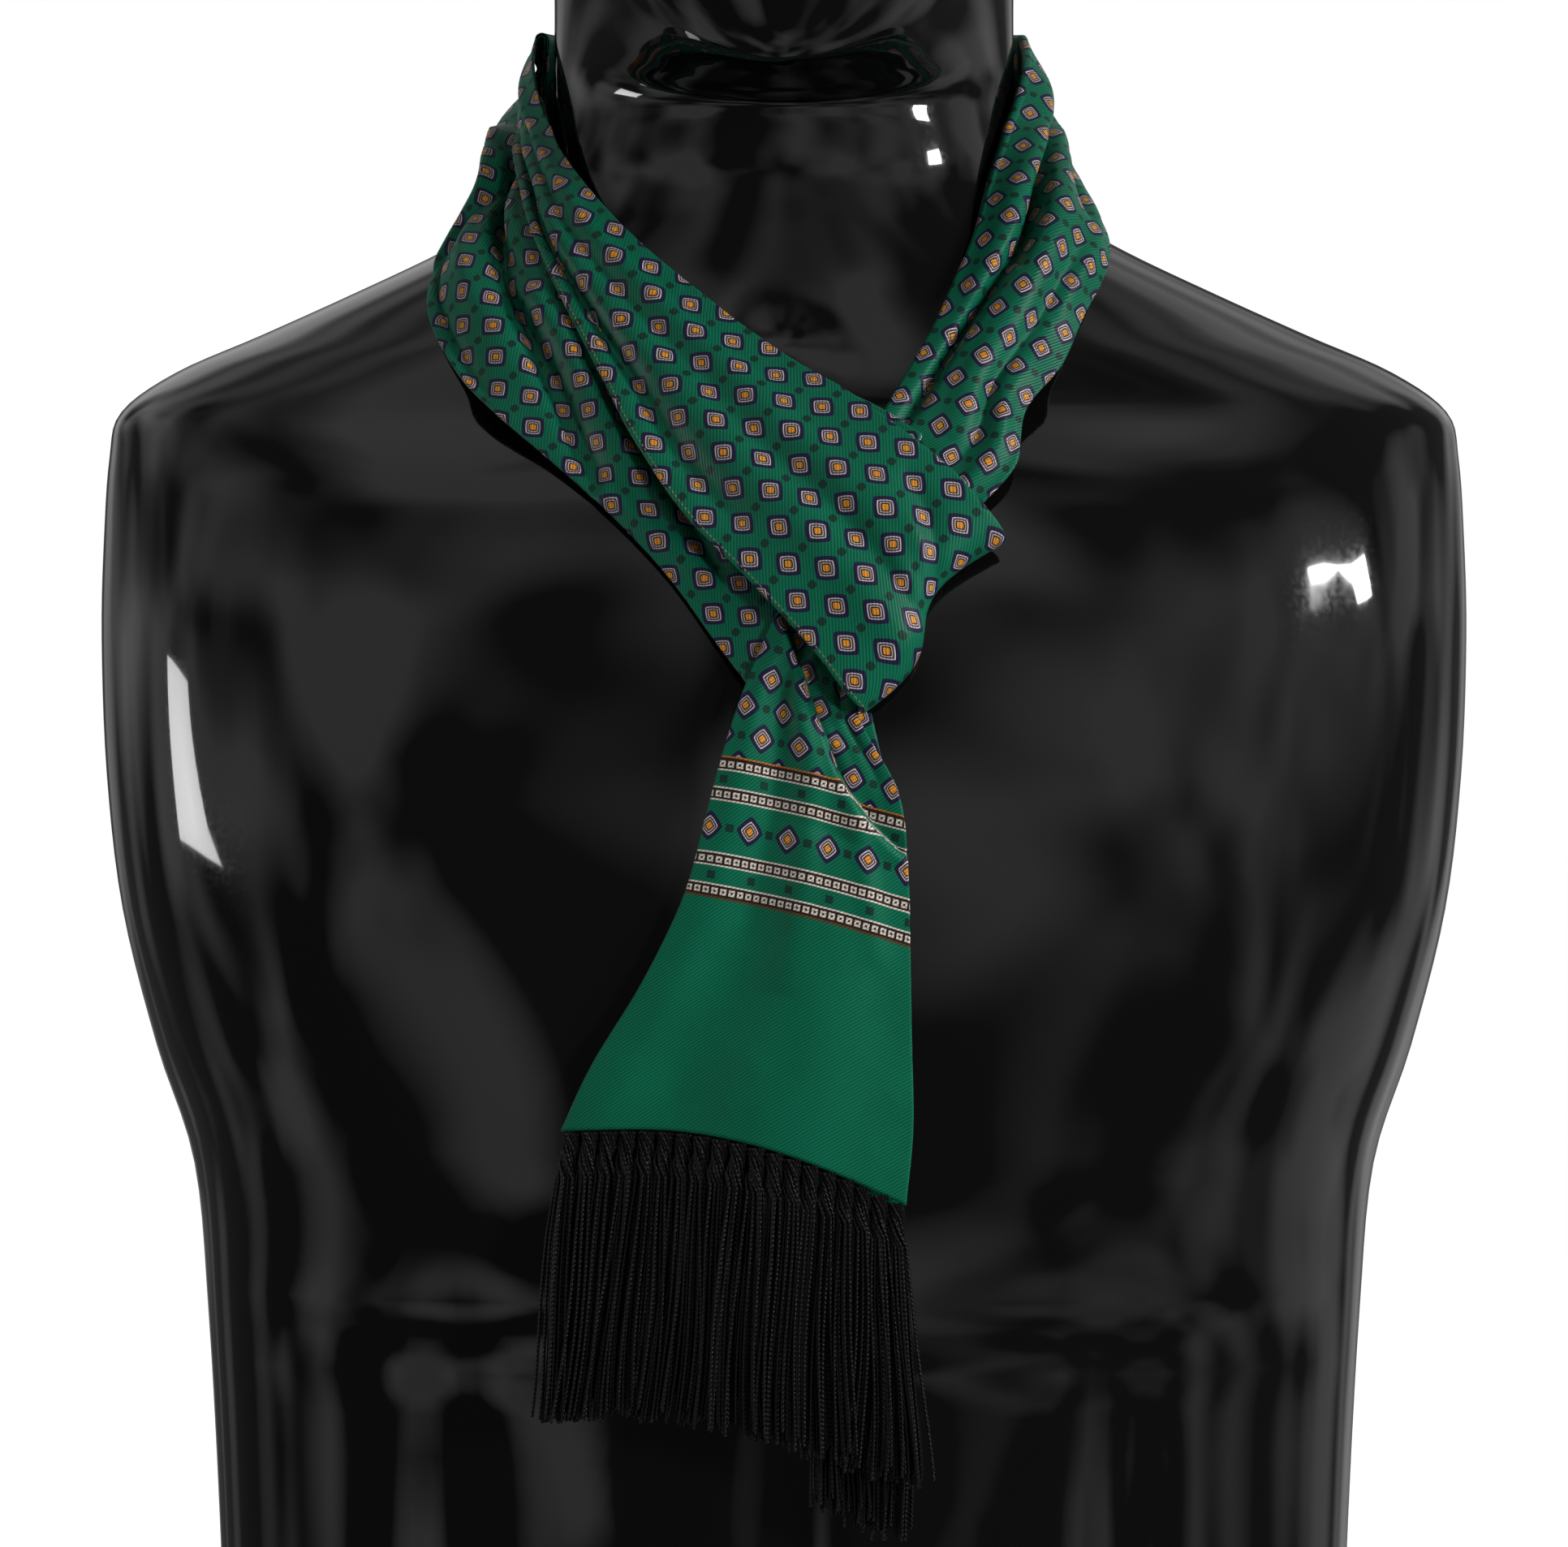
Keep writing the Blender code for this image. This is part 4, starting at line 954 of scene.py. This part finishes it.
def threadTree():
    tree = bpy.data.node_groups.new("fringeThreads", "GeometryNodeTree")
    bundle = bundleShape
    sockets = [("Geometry", "Geometry"), *(row[:2] for row in threadInputs),
               ("Material", "Material")]
    for name, kind in sockets:
        tree.interface.new_socket(name, in_out="INPUT", socket_type="NodeSocket" + kind)
    tree.interface.new_socket("Geometry", in_out="OUTPUT", socket_type="NodeSocketGeometry")
    given = addNode(tree, "NodeGroupInput", {})
    take = {name: given.outputs[i] for i, (name, _) in enumerate(sockets)}

    # a point for each thread, with its number and its chances
    copies = addNode(tree, "GeometryNodeDuplicateElements",
                     {0: take["Geometry"], 2: take["Threads"]}, domain="POINT")
    points = addNode(tree, "GeometryNodeStoreNamedAttribute",
                     {0: copies, "Name": "place", "Value": copies.outputs[1]})
    for number, name in enumerate(("chanceX", "chanceY", "chanceLength")):
        seed = addNode(tree, "ShaderNodeMath", {0: take["Seed"], 1: number * bundle["seedStep"]},
                       operation="ADD")
        chance = addNode(tree, "FunctionNodeRandomValue", {2: -1.0, 3: 1.0, 8: seed})
        points = addNode(tree, "GeometryNodeStoreNamedAttribute",
                         {0: points, "Name": name, "Value": chance.outputs[1]})
    line = addNode(tree, "GeometryNodeCurvePrimitiveLine", {1: (0.0, 0.0, -mm)})
    line = addNode(tree, "GeometryNodeResampleCurve", {0: line, 2: take["Steps"]})
    factor = addNode(tree, "GeometryNodeSplineParameter", {})
    line = addNode(tree, "GeometryNodeStoreNamedAttribute",
                   {0: line, "Name": "down", "Value": factor})
    placed = addNode(tree, "GeometryNodeInstanceOnPoints", {0: points, 2: line, 6: (mm, mm, mm)})
    threads = addNode(tree, "GeometryNodeRealizeInstances", {0: placed})

    value = dict(take)
    for name in ("down", "place", "share", "bundleTurn", "chanceX", "chanceY", "chanceLength"):
        value[name] = addNode(tree, "GeometryNodeInputNamedAttribute", {0: name})
    steps = [
        ("lengthLess", "MULTIPLY", "Shorter", "share"),
        ("lengthShare", "SUBTRACT", 1.0, "lengthLess"),
        ("lengthNow", "MULTIPLY_ADD", "chanceLength", bundle["lengthDrift"], "lengthShare"),
        ("reach", "MULTIPLY", "Length", "lengthNow"),
        ("fallen", "MULTIPLY", "down", "reach"),
        ("offsetZ", "MULTIPLY", "fallen", -1.0),
        ("rootPart", "DIVIDE", "fallen", "Root Length"),
        # tight in the root, then looser down to the full width
        ("loosening", "SUBTRACT", "rootPart", bundle["loosens"][0]),
        ("looseSlope", "MULTIPLY", "loosening", bundle["loosens"][1]),
        ("looseTop", "MINIMUM", "looseSlope", 1.0),
        ("loose", "MAXIMUM", "looseTop", 0.0),
        ("tightShare", "SUBTRACT", 1.0, "Root Share"),
        ("spread", "MULTIPLY_ADD", "loose", "tightShare", "Root Share"),
        # where the thread stands in its twisted bundle
        ("placeMiddle", "ADD", "place", 0.5),
        ("placeShare", "DIVIDE", "placeMiddle", "Threads"),
        ("radius", "SQRT", "placeShare"),
        ("golden", "MULTIPLY", "place", bundle["goldenAngle"]),
        ("twist", "MULTIPLY", "rootPart", bundle["twist"][0]),
        ("twistKept", "MINIMUM", "twist", bundle["twist"][1]),
        ("turnPlace", "ADD", "golden", "twistKept"),
        ("angle", "ADD", "turnPlace", "bundleTurn"),
    ]
    for way, turned, half in (("X", "COSINE", "Half Width"), ("Y", "SINE", "Half Depth")):
        steps += [("turned", turned, "angle"), ("spoke", "MULTIPLY", "radius", "turned"),
                  ("open", "MULTIPLY", "spoke", half),
                  ("bundle" + way, "MULTIPLY", "open", "spread")]
    steps += [
        # how the bundle leans, and how each thread strays from it toward the tip
        ("leanGap", "SUBTRACT", "Lean Right", "Lean Left"),
        ("lean", "MULTIPLY_ADD", "leanGap", "share", "Lean Left"),
        ("leanNow", "MULTIPLY", "lean", "down"),
        ("chanceSquare", "MULTIPLY", "chanceX", "chanceX"),
        ("chanceCube", "MULTIPLY", "chanceSquare", "chanceX"),
        ("strayFar", "MULTIPLY", "chanceCube", "Stray"),
        ("strayNow", "MULTIPLY", "strayFar", "down"),
        ("wavePlace", "MULTIPLY_ADD", "down", bundle["waveTurn"], "bundleTurn"),
        ("wave", "SINE", "wavePlace"),
        ("waveWide", "MULTIPLY", "wave", "down"),
        ("waveNow", "MULTIPLY", "waveWide", bundle["wave"] * mm),
        # each twisted root sways over its neighbour before the threads fall loose
        ("rootKept", "MINIMUM", "rootPart", 1.0),
        ("rootTurn", "MULTIPLY", "rootKept", 2 * math.pi),
        ("rootSway", "SINE", "rootTurn"),
        ("rootLean", "MULTIPLY_ADD", "rootSway", bundle["rootSway"] * mm, "leanNow"),
        ("bundleChance", "MULTIPLY", "bundleTurn", bundle["sideTurn"]),
        ("bundleSide", "SINE", "bundleChance"),
        ("bundleDrift", "MULTIPLY", "bundleSide", "down"),
        ("driftedLean", "MULTIPLY_ADD", "bundleDrift", bundle["drift"] * mm, "rootLean"),
        ("leantX", "ADD", "bundleX", "driftedLean"),
        ("strayedX", "ADD", "leantX", "strayNow"),
        ("offsetX", "ADD", "strayedX", "waveNow"),
        ("strayY", "MULTIPLY", "chanceY", "down"),
        ("offsetY", "MULTIPLY_ADD", "strayY", bundle["strayDeep"] * mm, "bundleY"),
        ("thick", "MULTIPLY", "Thread Width", 0.5),
    ]
    for result, operation, *terms in steps:
        inputs = {i: value.get(term, term) for i, term in enumerate(terms)}
        value[result] = addNode(tree, "ShaderNodeMath", inputs, operation=operation)
    offset = addNode(tree, "ShaderNodeCombineXYZ",
                     {0: value["offsetX"], 1: value["offsetY"], 2: value["offsetZ"]})
    threads = addNode(tree, "GeometryNodeSetPosition", {0: threads, 3: offset})
    threads = addNode(tree, "GeometryNodeStoreNamedAttribute",
                      {0: threads, "Name": "threadLength", "Value": value["fallen"]})
    circle = addNode(tree, "GeometryNodeCurvePrimitiveCircle", {0: take["Sides"], 4: 1.0})
    ring = addNode(tree, "GeometryNodeStoreNamedAttribute",
                   {0: circle, "Name": "threadTurn", "Value": factor})
    # a thread is its ring of sides swept along its line, with its ends closed
    swept = addNode(tree, "GeometryNodeCurveToMesh",
                    {0: threads, 1: ring, 2: value["thick"], 3: True})
    smooth = addNode(tree, "GeometryNodeSetShadeSmooth", {0: swept})
    real = addNode(tree, "GeometryNodeRealizeInstances", {0: smooth})
    finished = addNode(tree, "GeometryNodeSetMaterial", {0: real, 2: take["Material"]})
    addNode(tree, "NodeGroupOutput", {0: finished})
    return tree


def growThreads(name, roots, tree, values):
    # bundle roots in, plain mesh of threads out
    mesh = bpy.data.meshes.new(name + "Roots")
    mesh.from_pydata(framePoints(roots).tolist(), [], [])
    rng = np.random.default_rng(values["Seed"])
    marks = {"share": np.linspace(0, 1, len(roots)),
             "bundleTurn": rng.uniform(0, 2 * np.pi, len(roots))}
    for mark, numbers in marks.items():
        attribute = mesh.attributes.new(mark, "FLOAT", "POINT")
        attribute.data.foreach_set("value", numbers.astype(np.float32))
    holder = addObject(name + "Holder", mesh)
    modifier = holder.modifiers.new("threads", "NODES")
    modifier.node_group = tree
    for item in tree.interface.items_tree:
        if item.in_out == "INPUT" and item.name in values:
            modifier[item.identifier] = values[item.name]
    shown = holder.evaluated_get(bpy.context.evaluated_depsgraph_get())
    grown = bpy.data.meshes.new_from_object(shown)
    grown.name = name
    bpy.data.objects.remove(holder)
    return addObject(name, grown)


def makeFringe(name, node, hem, plan, tree):
    along = np.concatenate([[0], np.cumsum(np.linalg.norm(np.diff(hem, axis=0), axis=1))])
    pitch = along[-1] / plan["bundles"]
    at = (np.arange(plan["bundles"]) + 0.5) * pitch
    roots = np.stack([np.interp(at, along, hem[:, k]) for k in range(3)], axis=1)
    sizes = {**bundleShape, **plan}
    values = {name: sizes[key] * unitSize for name, _, key, unitSize in threadInputs}
    values["Material"] = silkThread
    made = growThreads(name, roots - (0, 0, bundleShape["hookedBelow"]), tree, values)
    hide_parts(node)
    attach(made, "root")


threads = threadTree()
makeFringe("frontFringe", "front_fringe", tail[0], frontFringe, threads)
makeFringe("backFringe", "back_fringe", back[0], backFringe, threads)
print("fringe ready")


# studio: pale floor, soft boxes all round, camera at the photograph's angle
studio = {
    "cameraBack": 1.892,
    "cameraHigh": 0.280,
    "frameWide": 0.44436,       # what the picture spans at frameAway, metres
    "frameAway": 1.8,
    "floorAcross": 60.0,
    "floorPaper": "#D6D6D4",
    "paperRoughness": 0.9,
    "floorGlow": (0.60, 0.95),  # keeps the paper pale, more so away from the form
    "glowReach": (0.25, 1.3),
    # name, place, aim, width, height, power, spread in degrees, seen in the lacquer
    "softBoxes": [
        ("rightBox", (1.57, -0.63, 1.12), (0, 0, 0.36), 0.22, 0.22, 1.8, 75, True),
        ("leftBox", (-1.55, -0.2, 0.36), (0, 0, 0.34), 0.4, 0.34, 0.7, 75, True),
        ("keyPanel", (1.2, -1.6, 0.55), (0.04, -0.1, 0.19), 0.3, 0.3, 0.44, 26, False),
        ("sidePanel", (1.9, -0.9, 0.9), (0, 0, 0.3), 0.6, 0.6, 2.9, 75, False),
        ("fillPanel", (-1.5, -1.0, 1.25), (0, 0, 0.36), 0.5, 0.5, 0.5, 75, False),
        ("backPanel", (0.9, 1.9, 1.3), (0, 0, 0.4), 0.9, 0.7, 5.0, 75, False),
        ("farPanel", (-1.3, 1.5, 1.1), (0, 0, 0.4), 0.6, 0.6, 3.0, 75, False)],
    "airLight": 0.05,
    "airPatches": 0.42,         # the soft grey clouds that the lacquer mirrors
    "patchNoise": (2.2, 1.5),   # scale, detail
    "patchFrom": (0.42, 0.62),
    "airSeen": 1.0,
}


def makeFloor():
    half = studio["floorAcross"] / 2
    mesh = bpy.data.meshes.new("studioFloor")
    mesh.from_pydata([(-half, -half, 0), (half, -half, 0), (half, half, 0), (-half, half, 0)],
                     [], [(0, 1, 2, 3)])
    paper, tree, shader = startMaterial("paleSeamlessPaper")    # matt, without a glint
    place = addNode(tree, "ShaderNodeTexCoord", {}).outputs[3]
    away = addNode(tree, "ShaderNodeVectorMath", {0: place}, operation="LENGTH").outputs[1]
    glow = addNode(tree, "ShaderNodeMapRange",
                   {0: away, 1: studio["glowReach"][0], 2: studio["glowReach"][1],
                    3: studio["floorGlow"][0], 4: studio["floorGlow"][1]})
    feed(tree, shader, {"Base Color": linear(studio["floorPaper"]),
                        "Roughness": studio["paperRoughness"],
                        "Emission Color": linear("#FFFFFF"), "Emission Strength": glow})
    mesh.materials.append(paper)
    floor = addObject("studioFloor", mesh)
    floor.visible_glossy = False    # the lacquer mirrors the soft boxes and a dim room
    floor.visible_diffuse = False


def makeSoftBoxes():
    for name, place, aim, wide, high, power, spread, mirrored in studio["softBoxes"]:
        light = bpy.data.lights.new(name, "AREA")
        light.shape = "RECTANGLE"
        light.size, light.size_y = wide, high
        light.energy = power
        light.spread = math.radians(spread)
        lamp = addObject(name, light)
        lamp.location = place
        lamp.visible_glossy = mirrored
        lamp.rotation_euler = (Vector(aim) - Vector(place)).to_track_quat("-Z", "Y").to_euler()


def makeAir():
    # the room is dim where the lacquer mirrors it, and pale behind the subject
    world = bpy.data.worlds.new("studioAir")
    world.use_nodes = True
    tree = world.node_tree
    path = addNode(tree, "ShaderNodeLightPath", {})
    way = addNode(tree, "ShaderNodeTexCoord", {})
    clouds = addNode(tree, "ShaderNodeTexNoise",
                     {0: way, 2: studio["patchNoise"][0], 3: studio["patchNoise"][1]})
    patches = addNode(tree, "ShaderNodeMapRange",
                      {0: clouds, 1: studio["patchFrom"][0], 2: studio["patchFrom"][1],
                       4: studio["airPatches"]})
    mirrored = addNode(tree, "ShaderNodeMath", {0: path.outputs[3], 1: patches,
                                                2: studio["airLight"]}, operation="MULTIPLY_ADD")
    dim = addNode(tree, "ShaderNodeBackground", {0: linear("#FFFFFF"), 1: mirrored})
    pale = addNode(tree, "ShaderNodeBackground", {0: linear("#FFFFFF"), 1: studio["airSeen"]})
    air = addNode(tree, "ShaderNodeMixShader", {0: path, 1: dim, 2: pale})
    feed(tree, tree.nodes["World Output"], {0: air})
    bpy.context.scene.world = world


def makeCamera():
    bpy.context.scene.view_settings.view_transform = "Standard"
    lens = bpy.data.cameras.new("photoCamera")
    lens.sensor_fit = "HORIZONTAL"
    lens.lens = lens.sensor_width * studio["frameAway"] / studio["frameWide"]
    camera = addObject("photoCamera", lens)
    camera.location = (0, -studio["cameraBack"], studio["cameraHigh"])
    camera.rotation_euler = (math.pi / 2, 0, 0)
    bpy.context.scene.camera = camera


makeFloor()
makeSoftBoxes()
makeAir()
makeCamera()
print("studio ready")
